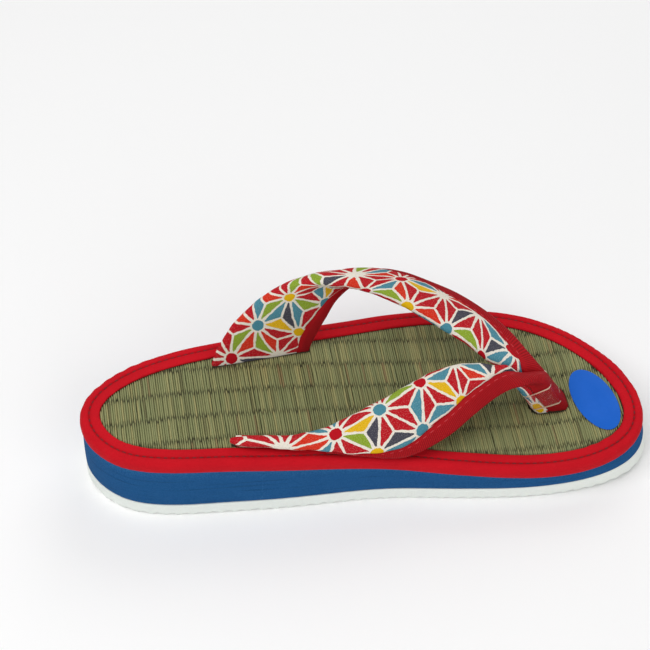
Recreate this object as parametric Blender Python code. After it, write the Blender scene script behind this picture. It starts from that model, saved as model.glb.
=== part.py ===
"""Left zori sandal: rippled sole, foam wedge, bound rush mat and two padded straps.

Metres, +Z up, +X towards the toe, +Y towards the little toe.
Along is a share of LENGTH from the heel, and across is a share of the width
at that place, from the middle of the sole, positive towards the little toe.
"""
import math

import bmesh
import bpy
import numpy as np
from mathutils import Vector

# Overall sizes
LENGTH = 0.245
BALL_WIDTH = 0.094
HEEL_WIDTH = 0.068
HEEL_HEIGHT = 0.0375
BALL_HEIGHT = 0.0204
TOE_HEIGHT = 0.0239

# Outsole
OUTSOLE_THICKNESS = 0.007
TOE_SPRING = 0.0028
RIPPLE_PITCH = 0.006
RIPPLE_DEPTH = 0.0009
RIPPLE_CREST = 0.0022
TOE_FLARE = 0.0045

# Midsole, mat and binding
MIDSOLE_INSET = 0.0008
BINDING_WIDTH = 0.0084
BINDING_DROP = 0.0062
BINDING_WALL = 0.0012
BINDING_GROOVE = 0.0040
GROOVE_DEPTH = 0.0006
MAT_DROP = 0.0003

# Straps and edging
STRAP_PADDING = 0.008
INNER_ARCH = 0.026
OUTER_ARCH = 0.043
TAPE_WIDTH = 0.008
TAPE_THICKNESS = 0.0024
TONGUE_THICKNESS = 0.0024
SLOT_WIDTH = 0.0046

# Toe post, its clear band and the oval sticker
POST_HEIGHT = 0.023
POST_ACROSS = -0.104
BAND_WALL = 0.0006
STICKER_LENGTH = 0.0355
STICKER_WIDTH = 0.0178
STICKER_THICKNESS = 0.0003
STICKER_ALONG = 0.919
STICKER_ACROSS = -0.142
STICKER_TURN = math.radians(12.5)

# Spaces between pieces
CLEARANCE = 0.0003
SLOT_CLEARANCE = 0.0004
TAPE_GAP = 0.0009
JOIN_OVERLAP = 0.0003

# Where the heel's width ends and the ball's begins, and where the toe lifts
HEEL_END = 0.20
BALL_START = 0.65
SPRING_START = 0.73
FLARE_START = 0.80

# The share of the toe's flare that is left where the rubber meets the foam
FOAM_FLARE = 0.6

# How finely the curves are cut
OUTLINE_STEPS = 24
STATIONS = 42
ROW_STEPS = 3
PAD_STEPS = 8
OVAL_STEPS = 28
BAND_SKIPPED = 1
BAND_ROWS = 4

# How square the padding and the post's hole and band are: 2 is an ellipse
PAD_POWER = 2.3
OVAL_POWER = 4.0

# The groove's width over its depth, on each side of the seam
GROOVE_SLOPE = 1.4

# The binding's outer side, below the roll
BINDING_ROLL = (
    # share of the roll's inset, share of BINDING_DROP
    (0.45, 0.07),
    (0.10, 0.28),
    (0.00, 0.58),
    (0.08, 1.00),
)

# Half of a tape's section on each side, from the padding out to its tip and back
TAPE_PROFILE = (
    # share of the width, share of half the thickness
    (0.00, 1.00),
    (0.62, 1.00),
    (0.90, 0.68),
    (1.00, 0.00),
    (0.90, -0.68),
    (0.62, -1.00),
    (0.00, -1.00),
    (0.00, 0.00),
)
TAPE_TIP = -5

# Control points of the sole's outline
OUTLINE = (
    # place, along, across
    ("heel back", -0.015, -0.100),
    ("heel inner corner", 0.045, -0.415),
    ("heel inner side", 0.135, -0.520),
    ("waist inner rear", 0.315, -0.545),
    ("waist inner front", 0.515, -0.400),
    ("ball inner rear", 0.705, -0.490),
    ("ball inner front", 0.870, -0.520),
    ("big toe corner", 0.990, -0.405),
    ("toe tip", 1.010, -0.130),
    ("toe outer corner", 0.955, 0.195),
    ("small toe corner", 0.855, 0.440),
    ("ball outer side", 0.715, 0.525),
    ("waist outer side", 0.475, 0.455),
    ("heel outer side", 0.230, 0.490),
    ("heel outer corner", 0.020, 0.255),
)

# Height of the binding's top: share of heel above ball, and share of toe above ball
TOP_LINE = (
    # along, heel share, toe share
    (0.000, 0.940, 0.00),
    (0.125, 1.000, 0.00),
    (0.250, 0.936, 0.00),
    (0.375, 0.766, 0.00),
    (0.500, 0.520, 0.00),
    (0.625, 0.263, 0.00),
    (0.750, 0.058, 0.00),
    (0.850, 0.000, 0.00),
    (0.930, 0.000, 0.35),
    (1.000, 0.000, 1.00),
)

# Each strap by its inner edge and its edging's edge, from the rear end to the post.
# Lift is a share of that strap's arch above where it would rest on the mat.
# Padding is a share of STRAP_PADDING, tape of TAPE_WIDTH, and wrap says how far
# the edging has closed round the padding.
INNER_STRAP = (
    # inner along, across, lift, edge along, across, lift, padding, tape, wrap
    (0.254, -0.368, 0.03, 0.252, -0.392, 0.00, 0.30, 0.00, 0.0),
    (0.268, -0.372, 0.05, 0.266, -0.422, 0.00, 0.55, 0.00, 0.0),
    (0.301, -0.375, 0.10, 0.297, -0.440, 0.01, 0.75, 0.00, 0.0),
    (0.361, -0.378, 0.15, 0.353, -0.443, 0.01, 0.82, 0.00, 0.0),
    (0.417, -0.339, 0.25, 0.413, -0.445, 0.01, 0.88, 0.15, 0.0),
    (0.470, -0.274, 0.39, 0.474, -0.446, 0.01, 0.94, 0.20, 0.0),
    (0.532, -0.197, 0.54, 0.549, -0.437, 0.03, 1.00, 0.62, 0.0),
    (0.590, -0.120, 0.66, 0.625, -0.360, 0.23, 1.00, 0.92, 0.0),
    (0.641, -0.077, 0.77, 0.680, -0.283, 0.47, 0.95, 0.98, 0.0),
    (0.686, -0.076, 0.86, 0.717, -0.235, 0.64, 0.88, 0.96, 0.0),
    (0.720, -0.088, 0.85, 0.747, -0.209, 0.75, 0.82, 1.00, 0.1),
    (0.741, -0.105, 0.80, 0.776, -0.198, 0.80, 0.78, 1.08, 0.3),
)
OUTER_STRAP = (
    (0.241, 0.272, 0.00, 0.424, 0.318, 0.00, 0.42, 0.75, 0.0),
    (0.270, 0.332, 0.26, 0.437, 0.332, 0.13, 0.55, 0.88, 0.0),
    (0.311, 0.380, 0.49, 0.454, 0.346, 0.32, 0.75, 0.75, 0.0),
    (0.363, 0.400, 0.70, 0.475, 0.372, 0.52, 0.85, 0.55, 0.0),
    (0.420, 0.370, 0.84, 0.507, 0.396, 0.67, 0.95, 0.48, 0.0),
    (0.484, 0.282, 0.91, 0.552, 0.413, 0.79, 1.00, 0.48, 0.0),
    (0.536, 0.230, 0.86, 0.599, 0.415, 0.73, 1.00, 0.50, 0.0),
    (0.593, 0.175, 0.75, 0.650, 0.406, 0.59, 1.00, 0.64, 0.0),
    (0.645, 0.109, 0.62, 0.701, 0.362, 0.50, 0.95, 0.82, 0.0),
    (0.690, 0.024, 0.56, 0.745, 0.252, 0.48, 0.90, 0.82, 0.0),
    (0.722, -0.040, 0.47, 0.777, 0.128, 0.48, 0.84, 0.84, 0.1),
    (0.745, -0.070, 0.43, 0.805, -0.008, 0.43, 0.80, 0.90, 0.3),
)
FIRST_TAPED_ROW = 4

# How much the padding bulges above and below its middle
OVER_CROWN = 1.08
UNDER_CROWN = 0.92
WRAPPED_TAPE = 0.84

# The toe post, where both straps lie face to face: rise is a share of POST_HEIGHT,
# and spread is a share of half the padding, from the post's middle
POST = (
    # rear along, rear rise, front along, front rise, spread, wrap
    (0.763, 0.78, 0.820, 0.83, 1.08, 0.6),
    (0.781, 0.43, 0.840, 0.46, 0.92, 1.0),
    (0.803, 0.00, 0.8665, 0.00, 0.92, 1.0),
)
POST_PADDING = 0.80
POST_TAPE = 1.10
POST_LEAN = 0.55

# The inner strap's slot through the mat: first along, last along, across
INNER_SLOT = (0.253, 0.385, -0.356)

# How far the strap's tongue reaches up into the padding, as a share of it
TONGUE_RISE = 0.45

# From the mat's underside up to the ends of the straps
ANCHOR_GAP = 0.0008


def remove_everything():
    for thing in list(bpy.data.objects):
        bpy.data.objects.remove(thing, do_unlink=True)


def plain_material(name, colour, roughness, metallic=0.0, alpha=1.0):
    material = bpy.data.materials.new(name)
    material.use_nodes = True
    shader = material.node_tree.nodes["Principled BSDF"]
    shader.inputs["Base Color"].default_value = (*colour, 1.0)
    shader.inputs["Roughness"].default_value = roughness
    shader.inputs["Metallic"].default_value = metallic
    shader.inputs["Alpha"].default_value = alpha
    return material


def smooth_share(value):
    held = min(max(value, 0.0), 1.0)
    return held * held * (3.0 - 2.0 * held)


def width_at(along):
    share = smooth_share((along - HEEL_END) / (BALL_START - HEEL_END))
    return HEEL_WIDTH + (BALL_WIDTH - HEEL_WIDTH) * share


def catmull(before, start, end, after, share):
    """Value on a Catmull-Rom curve between start and end."""
    square = share * share
    cube = square * share
    return 0.5 * (2.0 * start + (end - before) * share
                  + (2.0 * before - 5.0 * start + 4.0 * end - after) * square
                  + (3.0 * start - before - 3.0 * end + after) * cube)


def top_height(x):
    """Height of the binding's top at x metres from the heel."""
    along = min(max(x / LENGTH, 0.0), 1.0)
    places = [row[0] for row in TOP_LINE]
    index = min(max(int(np.searchsorted(places, along)) - 1, 0), len(places) - 2)
    share = (along - places[index]) / (places[index + 1] - places[index])
    picks = [max(index - 1, 0), index, index + 1, min(index + 2, len(places) - 1)]
    heel = catmull(*[TOP_LINE[pick][1] for pick in picks], share)
    toe = catmull(*[TOP_LINE[pick][2] for pick in picks], share)
    return BALL_HEIGHT + (HEEL_HEIGHT - BALL_HEIGHT) * heel + (TOE_HEIGHT - BALL_HEIGHT) * toe


def mat_height(x):
    return top_height(x) - MAT_DROP


def mat_base(x):
    return top_height(x) - BINDING_DROP


def sole_bottom(x):
    lift = max(x / LENGTH - SPRING_START, 0.0) / (1.0 - SPRING_START)
    return TOE_SPRING * lift * lift


def flare_at(x):
    share = max(x / LENGTH - FLARE_START, 0.0) / (1.0 - FLARE_START)
    return TOE_FLARE * min(share, 1.0) ** 2


def outline_curve():
    """The sole's outline as a closed B-spline, heel at x 0 and toe at LENGTH."""
    points = np.array([row[1:] for row in OUTLINE])
    shares = np.linspace(0.0, 1.0, OUTLINE_STEPS, endpoint=False)[:, None]
    pieces = []
    for index in range(len(points)):
        before, start, end, after = (points[(index + step) % len(points)] for step in (-1, 0, 1, 2))
        pieces.append(((1 - shares) ** 3 * before + (3 * shares ** 3 - 6 * shares ** 2 + 4) * start
                       + (-3 * shares ** 3 + 3 * shares ** 2 + 3 * shares + 1) * end
                       + shares ** 3 * after) / 6.0)
    curve = np.concatenate(pieces)
    lowest, highest = curve[:, 0].min(), curve[:, 0].max()
    along = (curve[:, 0] - lowest) / (highest - lowest)
    across = curve[:, 1] * np.array([width_at(value) for value in along])
    return np.column_stack([along * LENGTH, across])


def moved_outline(inset, flare):
    """The outline moved inwards by inset, and outwards at the toe by a share of the flare."""
    curve = outline_curve()
    along = np.roll(curve, -1, axis=0) - np.roll(curve, 1, axis=0)
    along /= np.linalg.norm(along, axis=1)[:, None]
    outward = np.column_stack([along[:, 1], -along[:, 0]])
    moves = np.array([flare * flare_at(x) - inset for x in curve[:, 0]])
    return curve + outward * moves[:, None]


def even_shares():
    """Stations along the sole, closer together where heel and toe turn round."""
    return [0.5 - 0.5 * math.cos(math.pi * step / (STATIONS - 1)) for step in range(STATIONS)]


def two_sides(curve, shares):
    """Both sides of a closed outline at the same stations."""
    first, last = int(curve[:, 0].argmin()), int(curve[:, 0].argmax())
    turned = np.roll(curve, -first, axis=0)
    split = (last - first) % len(curve)
    near = turned[:split + 1]
    far = np.vstack([turned[split:], turned[:1]])[::-1]
    places = near[0, 0] + (near[-1, 0] - near[0, 0]) * np.array(shares)
    near_across = np.interp(places, near[:, 0], near[:, 1])
    far_across = np.interp(places, far[:, 0], far[:, 1])
    return places, near_across, far_across


def sole_ring(inset, height, flare=0.0, shares=None):
    """One level of a sole piece: inner side from heel to toe, then outer side back."""
    places, near, far = two_sides(moved_outline(inset, flare), shares or even_shares())
    ring = [Vector((x, y, height(x))) for x, y in zip(places, near)]
    back = [Vector((x, y, height(x))) for x, y in zip(places, far)]
    return ring + back[-2:0:-1]


def join_rings(mesh, first, second):
    count = len(first)
    for index in range(count):
        following = (index + 1) % count
        mesh.faces.new((first[index], first[following], second[following], second[index]))


def cap_ring(mesh, ring, upward):
    """Close a sole level with strips from side to side, so that it follows its slope."""
    count = len(ring)
    stations = count // 2 + 1
    for step in range(stations - 1):
        corners = [ring[step], ring[step + 1], ring[(count - step - 1) % count], ring[(count - step) % count]]
        kept = [corner for place, corner in enumerate(corners) if corner not in corners[:place]]
        mesh.faces.new(kept if upward else kept[::-1])


def finish_mesh(name, mesh, material, smooth_angle=35.0):
    bmesh.ops.recalc_face_normals(mesh, faces=mesh.faces)
    data = bpy.data.meshes.new(name)
    mesh.to_mesh(data)
    mesh.free()
    data.materials.append(material)
    data.shade_smooth()
    data.set_sharp_from_angle(angle=math.radians(smooth_angle))
    thing = bpy.data.objects.new(name, data)
    bpy.context.scene.collection.objects.link(thing)
    return thing


def stacked_solid(name, rings, material):
    """A solid from levels of a sole piece, lowest first."""
    mesh = bmesh.new()
    levels = [[mesh.verts.new(point) for point in ring] for ring in rings]
    for lower, upper in zip(levels, levels[1:]):
        join_rings(mesh, lower, upper)
    cap_ring(mesh, levels[0], upward=False)
    cap_ring(mesh, levels[-1], upward=True)
    return finish_mesh(name, mesh, material)


def tube_solid(name, rings, material, closed=False):
    """A solid through sections, with flat ends or joined back to its start."""
    mesh = bmesh.new()
    levels = [[mesh.verts.new(point) for point in ring] for ring in rings]
    for lower, upper in zip(levels, levels[1:]):
        join_rings(mesh, lower, upper)
    if closed:
        join_rings(mesh, levels[-1], levels[0])
    else:
        mesh.faces.new(levels[0][::-1])
        mesh.faces.new(levels[-1])
    return finish_mesh(name, mesh, material)


def combine(thing, other, operation):
    """Cut or join another solid, which stays in the scene as a hidden guide."""
    other.hide_render = True
    other.display_type = "WIRE"
    modifier = thing.modifiers.new(other.name, "BOOLEAN")
    modifier.operation = operation
    modifier.solver = "EXACT"
    modifier.object = other


def ripple_stations(reach):
    """Shares of the tread's reach where a ripple's crest or valley starts or ends."""
    valley = (RIPPLE_PITCH - RIPPLE_CREST) / 3.0
    steps = (0.0, RIPPLE_CREST, RIPPLE_CREST + valley, RIPPLE_CREST + 2.0 * valley)
    waves = int(reach / RIPPLE_PITCH) + 1
    places = {wave * RIPPLE_PITCH + step for wave in range(waves) for step in steps}
    shares = {place / reach for place in places if place < reach - RIPPLE_CREST}
    ends = [share for share in even_shares() if share * reach < RIPPLE_CREST or (1.0 - share) * reach < RIPPLE_PITCH]
    return sorted(shares | set(ends))


def ripple_height(x, start):
    """How far the tread is hollowed at x, from 0 on a crest to RIPPLE_DEPTH in a valley."""
    valley = (RIPPLE_PITCH - RIPPLE_CREST) / 3.0
    place = (x - start) % RIPPLE_PITCH
    rise = (place - RIPPLE_CREST) / valley
    fall = (RIPPLE_PITCH - place) / valley
    return RIPPLE_DEPTH * min(max(min(rise, fall), 0.0), 1.0)


def make_outsole():
    tread = moved_outline(MIDSOLE_INSET, 1.0)
    start, end = tread[:, 0].min(), tread[:, 0].max()
    shares = ripple_stations(end - start)

    def bottom(x):
        return sole_bottom(x) + ripple_height(x, start)

    def top(x):
        return sole_bottom(x) + OUTSOLE_THICKNESS

    rings = [sole_ring(MIDSOLE_INSET, bottom, 1.0, shares), sole_ring(MIDSOLE_INSET, top, FOAM_FLARE, shares)]
    white = plain_material("outsole rubber", (0.73, 0.76, 0.71), 0.55)
    return stacked_solid("outsole", rings, white)


def make_midsole():
    def bottom(x):
        return sole_bottom(x) + OUTSOLE_THICKNESS + CLEARANCE

    def top(x):
        return mat_base(x) - CLEARANCE

    rings = [sole_ring(MIDSOLE_INSET, bottom, FOAM_FLARE), sole_ring(MIDSOLE_INSET, top)]
    blue = plain_material("midsole foam", (0.016, 0.085, 0.24), 0.8)
    return stacked_solid("midsole", rings, blue)


def make_mat():
    """The rush mat on its base, lower along its margin where the binding lies on it."""
    def margin(x):
        return top_height(x) - BINDING_WALL - CLEARANCE

    side = BINDING_WALL + CLEARANCE
    inside = BINDING_WIDTH + CLEARANCE
    rings = [sole_ring(side, mat_base), sole_ring(side, margin),
             sole_ring(inside, margin), sole_ring(inside, mat_height)]
    straw = plain_material("rush mat", (0.30, 0.29, 0.13), 0.75)
    return stacked_solid("insole_mat", rings, straw)


def make_binding():
    """A cloth band over the mat's edge, with a stitched groove and a rolled side."""
    half_groove = GROOVE_DEPTH * GROOVE_SLOPE
    roll = BINDING_GROOVE - half_groove
    profile = [
        # inset from the outline, drop from the top
        (BINDING_WIDTH, BINDING_WALL),
        (BINDING_WIDTH, BINDING_WALL * 0.3),
        (BINDING_WIDTH - BINDING_WALL * 0.5, 0.0),
        (BINDING_GROOVE + half_groove, 0.0),
        (BINDING_GROOVE, GROOVE_DEPTH),
        (roll, 0.0),
        *[(inset * roll, drop * BINDING_DROP) for inset, drop in BINDING_ROLL],
        (BINDING_WALL, BINDING_DROP),
        (BINDING_WALL, BINDING_WALL),
    ]
    rings = []
    for inset, drop in profile:
        rings.append(sole_ring(inset, lambda x, fall=drop: top_height(x) - fall))
    red = plain_material("binding cloth", (0.52, 0.006, 0.010), 0.8)
    return tube_solid("binding", rings, red, closed=True)


def strap_point(along, across, lift, half_thickness):
    x = along * LENGTH
    return Vector((x, across * width_at(along), top_height(x) + CLEARANCE + half_thickness + lift))


def post_point(along, rise, aside):
    x = along * LENGTH
    across = POST_ACROSS * width_at(along) + aside
    return Vector((x, across, top_height(x) + rise * POST_HEIGHT))


def strap_rows(table, arch, side, anchored):
    """Edge points and thicknesses of one strap, down to where it ends under the mat."""
    rows = []
    for inner_along, inner_across, inner_lift, edge_along, edge_across, edge_lift, pad, tape, wrap in table:
        half_pad = UNDER_CROWN * pad * STRAP_PADDING / 2.0
        half_edge = (half_pad + TAPE_THICKNESS / 2.0) / 2.0
        inner = strap_point(inner_along, inner_across, inner_lift * arch, half_pad)
        edge = strap_point(edge_along, edge_across, edge_lift * arch, half_edge)
        rows.append([inner, edge, pad * STRAP_PADDING, tape * TAPE_WIDTH, wrap])
    if anchored:
        inner, edge, pad, tape, wrap = rows[0]
        low_inner = Vector((inner.x, inner.y, mat_base(inner.x) + ANCHOR_GAP))
        low_edge = Vector((edge.x, edge.y, mat_base(edge.x) + ANCHOR_GAP))
        rows[0][0] = Vector((inner.x, inner.y, mat_height(inner.x)))
        rows[0][1] = Vector((edge.x, edge.y, mat_height(edge.x)))
        rows.insert(0, [low_inner, low_edge, pad, tape, wrap])
    padding = POST_PADDING * STRAP_PADDING
    for rear_along, rear_rise, front_along, front_rise, spread, wrap in POST:
        aside = side * spread * padding / 2.0
        rear = post_point(rear_along, rear_rise, aside)
        front = post_point(front_along, front_rise, aside)
        rows.append([rear, front, padding, POST_TAPE * TAPE_WIDTH, wrap])
    rear, front = rows[-1][0], rows[-1][1]
    depth = MAT_DROP + BINDING_DROP - ANCHOR_GAP + (0.0 if anchored else -JOIN_OVERLAP)
    down = Vector((POST_LEAN * depth, 0.0, -depth))
    rows.append([rear + down, front + down, padding, POST_TAPE * TAPE_WIDTH, 1.0])
    return rows


def fine_rows(rows):
    """The rows with smooth rows between them."""
    fine = []
    last = len(rows) - 1
    for index in range(last):
        picks = [rows[max(index - 1, 0)], rows[index], rows[index + 1], rows[min(index + 2, last)]]
        for step in range(ROW_STEPS):
            share = step / ROW_STEPS
            fine.append([catmull(*[pick[column] for pick in picks], share) for column in range(5)])
    fine.append(rows[-1])
    return fine


def section_frames(rows, side):
    """For each row its inner corner, the direction to the edging, the upper side and the reach."""
    middles = [(row[0] + row[1]) / 2.0 for row in rows]
    frames = []
    for index, row in enumerate(rows):
        ahead = middles[min(index + 1, len(rows) - 1)] - middles[max(index - 1, 0)]
        chord = (row[1] - row[0]).normalized()
        upper = chord.cross(ahead).normalized() * -side
        frames.append((row[0], chord, upper, (row[1] - row[0]).length))
    return frames


def edging_thickness(row):
    padding, wrap = row[2], row[4]
    return TAPE_THICKNESS + (WRAPPED_TAPE * padding - TAPE_THICKNESS) * min(max(wrap, 0.0), 1.0)


def pad_section(frame, row):
    """A crowned section, round at the inner edge and blunt where the edging starts."""
    corner, chord, upper, reach = frame
    padding, tape = row[2], max(row[3], 0.0)
    width = reach - tape - TAPE_GAP
    blunt = min(edging_thickness(row), padding) / 2.0
    half = padding / 2.0
    upper_side, under_side = [], []
    for step in range(PAD_STEPS + 1):
        share = 0.5 - 0.5 * math.cos(math.pi * step / PAD_STEPS)
        bow = abs(2.0 * share - 1.0)
        round_half = half * (1.0 - bow ** PAD_POWER) ** (1.0 / PAD_POWER)
        height = round_half if share <= 0.5 else blunt + (half - blunt) * math.sqrt(max(1.0 - bow * bow, 0.0))
        place = corner + chord * (share * width)
        upper_side.append(place + upper * (height * OVER_CROWN))
        under_side.append(place - upper * (height * UNDER_CROWN))
    return upper_side + [corner + chord * width] + under_side[:0:-1]


def tape_section(frame, row):
    """A flat section with a rounded outer edge, beside the padding."""
    corner, chord, upper, reach = frame
    tape = row[3]
    start = reach - tape
    half = edging_thickness(row) / 2.0
    return [corner + chord * (start + along * tape) + upper * (half * rise) for along, rise in TAPE_PROFILE]


def slot_cutter(name, first, last, width):
    """An upright cutter with round ends, from the first point to the last."""
    run = (last - first).normalized()
    aside = Vector((-run.y, run.x, 0.0))
    half = width / 2.0
    outline = []
    for centre, turn in ((last, -0.5), (first, 0.5)):
        for step in range(7):
            angle = math.pi * (turn + step / 6.0)
            outline.append(centre + run * (half * math.cos(angle)) + aside * (half * math.sin(angle)))
    height = Vector((0.0, 0.0, HEEL_HEIGHT + BINDING_DROP))
    grey = plain_material("guide", (0.5, 0.5, 0.5), 0.5)
    return tube_solid(name, [outline, [point + height for point in outline]], grey)


def ground_point(along, across):
    return Vector((along * LENGTH, across * width_at(along), 0.0))


def make_inner_tongue():
    """The part of the inner strap that goes down through its slot."""
    first_along, last_along, across = INNER_SLOT
    rest = (SLOT_WIDTH - TONGUE_THICKNESS) / 2.0 - SLOT_CLEARANCE
    inset = (TONGUE_THICKNESS / 2.0 + SLOT_CLEARANCE) / LENGTH
    rings = []
    for along in (first_along + inset, last_along - inset):
        centre = ground_point(along, across) - Vector((0.0, rest, 0.0))
        low = mat_base(centre.x)
        high = top_height(centre.x) + CLEARANCE + TONGUE_RISE * STRAP_PADDING
        half = TONGUE_THICKNESS / 2.0
        rings.append([Vector((centre.x, centre.y + sign * half, height))
                      for sign, height in ((-1, low), (1, low), (1, high), (-1, high))])
    cloth = plain_material("tongue cloth", (0.6, 0.4, 0.3), 0.8)
    return tube_solid("inner_tongue", rings, cloth)


def rounded_ring(sections, grow):
    """A rounded outline in the plane of a row, round all of its sections."""
    points = [point for section in sections for point in section]
    middle = sum(points, Vector()) / len(points)
    chord = sections[0][TAPE_TIP] - sections[0][0]
    chord = Vector((chord.x, 0.0, chord.z)).normalized()
    forward = [(point - middle).dot(chord) for point in points]
    aside = [point.y - middle.y for point in points]
    middle += chord * ((max(forward) + min(forward)) / 2.0)
    half_length = (max(forward) - min(forward)) / 2.0
    half_width = max(abs(value) for value in aside)
    reach = max((abs((point - middle).dot(chord) / half_length) ** OVAL_POWER
                 + abs((point.y - middle.y) / half_width) ** OVAL_POWER) ** (1.0 / OVAL_POWER)
                for point in points)
    half_length = half_length * reach + grow
    half_width = half_width * reach + grow
    ring = []
    for step in range(OVAL_STEPS):
        angle = 2.0 * math.pi * step / OVAL_STEPS
        ahead = math.copysign(abs(math.cos(angle)) ** (2.0 / OVAL_POWER), math.cos(angle))
        side = math.copysign(abs(math.sin(angle)) ** (2.0 / OVAL_POWER), math.sin(angle))
        ring.append(middle + chord * (half_length * ahead) + Vector((0.0, half_width * side, 0.0)))
    return ring


def make_post_cutter(sections):
    """The toe hole's cutter, from above the mat down along the lean of the post."""
    grey = plain_material("guide", (0.5, 0.5, 0.5), 0.5)
    rings = [rounded_ring(pair, SLOT_CLEARANCE) for pair in sections[-ROW_STEPS - 2::ROW_STEPS // 2 + 1]]
    rings.append([point + (point - above) for above, point in zip(rings[-2], rings[-1])])
    return tube_solid("post_hole", rings, grey)


def make_band(sections):
    """A thin clear sleeve round the post."""
    first = -3 * ROW_STEPS + BAND_SKIPPED - 1
    chosen = sections[first:first + BAND_ROWS]
    inner = [rounded_ring(pair, CLEARANCE) for pair in chosen]
    outer = [rounded_ring(pair, CLEARANCE + BAND_WALL) for pair in chosen]
    clear = plain_material("clear vinyl", (0.85, 0.80, 0.80), 0.15, alpha=0.4)
    return tube_solid("post_band", inner + outer[::-1], clear, closed=True)


def make_sticker():
    """A thin oval label that follows the mat."""
    centre = ground_point(STICKER_ALONG, STICKER_ACROSS)
    steps = 32
    mesh = bmesh.new()
    sheets = []
    for lift in (CLEARANCE, CLEARANCE + STICKER_THICKNESS):
        middle = mesh.verts.new((centre.x, centre.y, mat_height(centre.x) + lift))
        rings = []
        for reach in (0.5, 1.0):
            ring = []
            for step in range(steps):
                angle = 2.0 * math.pi * step / steps
                long_side = 0.5 * reach * STICKER_LENGTH * math.sin(angle)
                short_side = 0.5 * reach * STICKER_WIDTH * math.cos(angle)
                x = centre.x + short_side * math.cos(STICKER_TURN) - long_side * math.sin(STICKER_TURN)
                y = centre.y + short_side * math.sin(STICKER_TURN) + long_side * math.cos(STICKER_TURN)
                ring.append(mesh.verts.new((x, y, mat_height(x) + lift)))
            rings.append(ring)
        for step in range(steps):
            mesh.faces.new((middle, rings[0][step], rings[0][(step + 1) % steps]))
        join_rings(mesh, rings[0], rings[1])
        sheets.append(rings[1])
    join_rings(mesh, sheets[0], sheets[1])
    blue = plain_material("sticker blue", (0.0, 0.09, 0.50), 0.35)
    return finish_mesh("toe_sticker", mesh, blue)


def make_straps():
    """Both straps joined at the post, the red edging along each, and the post's sections."""
    cloth = plain_material("strap cloth", (0.75, 0.55, 0.42), 0.85)
    red = plain_material("edging tape", (0.50, 0.010, 0.016), 0.75)
    pads, edgings, sections = [], [], []
    settings = (("inner", INNER_STRAP, INNER_ARCH, -1, False), ("outer", OUTER_STRAP, OUTER_ARCH, 1, True))
    for name, table, arch, side, anchored in settings:
        rows = fine_rows(strap_rows(table, arch, side, anchored))
        frames = section_frames(rows, side)
        padded = [pad_section(*pair) for pair in zip(frames, rows)]
        skipped = 0 if anchored else FIRST_TAPED_ROW * ROW_STEPS
        taped = [tape_section(*pair) for pair in zip(frames[skipped:], rows[skipped:])]
        pads.append(tube_solid(name + "_pad", padded, cloth))
        edgings.append(tube_solid("edging_" + name + "_side", taped, red))
        reach = 3 * ROW_STEPS + 1
        sections.append([pad + tape for pad, tape in zip(padded[-reach:], taped[-reach:])])
    straps, outer = pads
    straps.name = "straps"
    straps.data.name = "straps"
    combine(straps, outer, "UNION")
    combine(straps, make_inner_tongue(), "UNION")
    return [straps] + edgings, list(zip(*sections))


def cut_mat(mat, sections):
    first_along, last_along, across = INNER_SLOT
    end = SLOT_WIDTH / 2.0 / LENGTH
    first = ground_point(first_along + end, across)
    last = ground_point(last_along - end, across)
    combine(mat, slot_cutter("inner_slot", first, last, SLOT_WIDTH), "DIFFERENCE")
    foot = OUTER_STRAP[0]
    thickness = foot[6] * STRAP_PADDING * OVER_CROWN + 2.0 * SLOT_CLEARANCE
    end = thickness / 4.0 / LENGTH
    first = ground_point(foot[0] + end, foot[1])
    last = ground_point(foot[3] - end, foot[4])
    combine(mat, slot_cutter("outer_slot", first, last, thickness), "DIFFERENCE")
    combine(mat, make_post_cutter(sections), "DIFFERENCE")


def centre_on_floor(things):
    """Move everything so that the origin is under the middle of the sandal's box."""
    corners = np.array([tuple(vertex.co) for thing in things for vertex in thing.data.vertices])
    lowest, highest = corners.min(axis=0), corners.max(axis=0)
    middle = Vector(((lowest[0] + highest[0]) / 2.0, (lowest[1] + highest[1]) / 2.0, lowest[2]))
    for thing in bpy.data.objects:
        thing.location = -middle
    print("moved by", tuple(round(-value, 6) for value in middle))
    print("size", tuple(round(float(value), 5) for value in highest - lowest))


def main():
    remove_everything()
    mat = make_mat()
    things = [make_outsole(), make_midsole(), mat, make_binding()]
    upper, sections = make_straps()
    cut_mat(mat, sections)
    things += upper + [make_band(sections), make_sticker()]
    centre_on_floor(things)


main()
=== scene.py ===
"""Dresses the left zori sandal: rippled rubber, foam wedge, woven rush, red binding and printed straps."""

import math

import bmesh
import bpy
import numpy as np
from bpy.props import FloatProperty, FloatVectorProperty, PointerProperty
from mathutils import Matrix, Vector


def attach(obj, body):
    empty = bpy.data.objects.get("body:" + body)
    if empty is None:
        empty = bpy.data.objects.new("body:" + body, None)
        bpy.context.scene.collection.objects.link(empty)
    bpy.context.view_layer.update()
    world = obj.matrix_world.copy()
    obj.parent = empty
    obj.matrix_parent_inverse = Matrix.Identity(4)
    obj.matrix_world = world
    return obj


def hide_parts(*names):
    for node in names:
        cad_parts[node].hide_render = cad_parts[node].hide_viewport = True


bl_info = {
    "name": "Zori sandal finish",
    "version": (1, 0, 0),
    "blender": (4, 5, 0),
    "location": "3D View > Sidebar > Zori",
    "description": "Builds the looks of a left zori sandal round its packed solids",
    "category": "Object",
}

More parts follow.
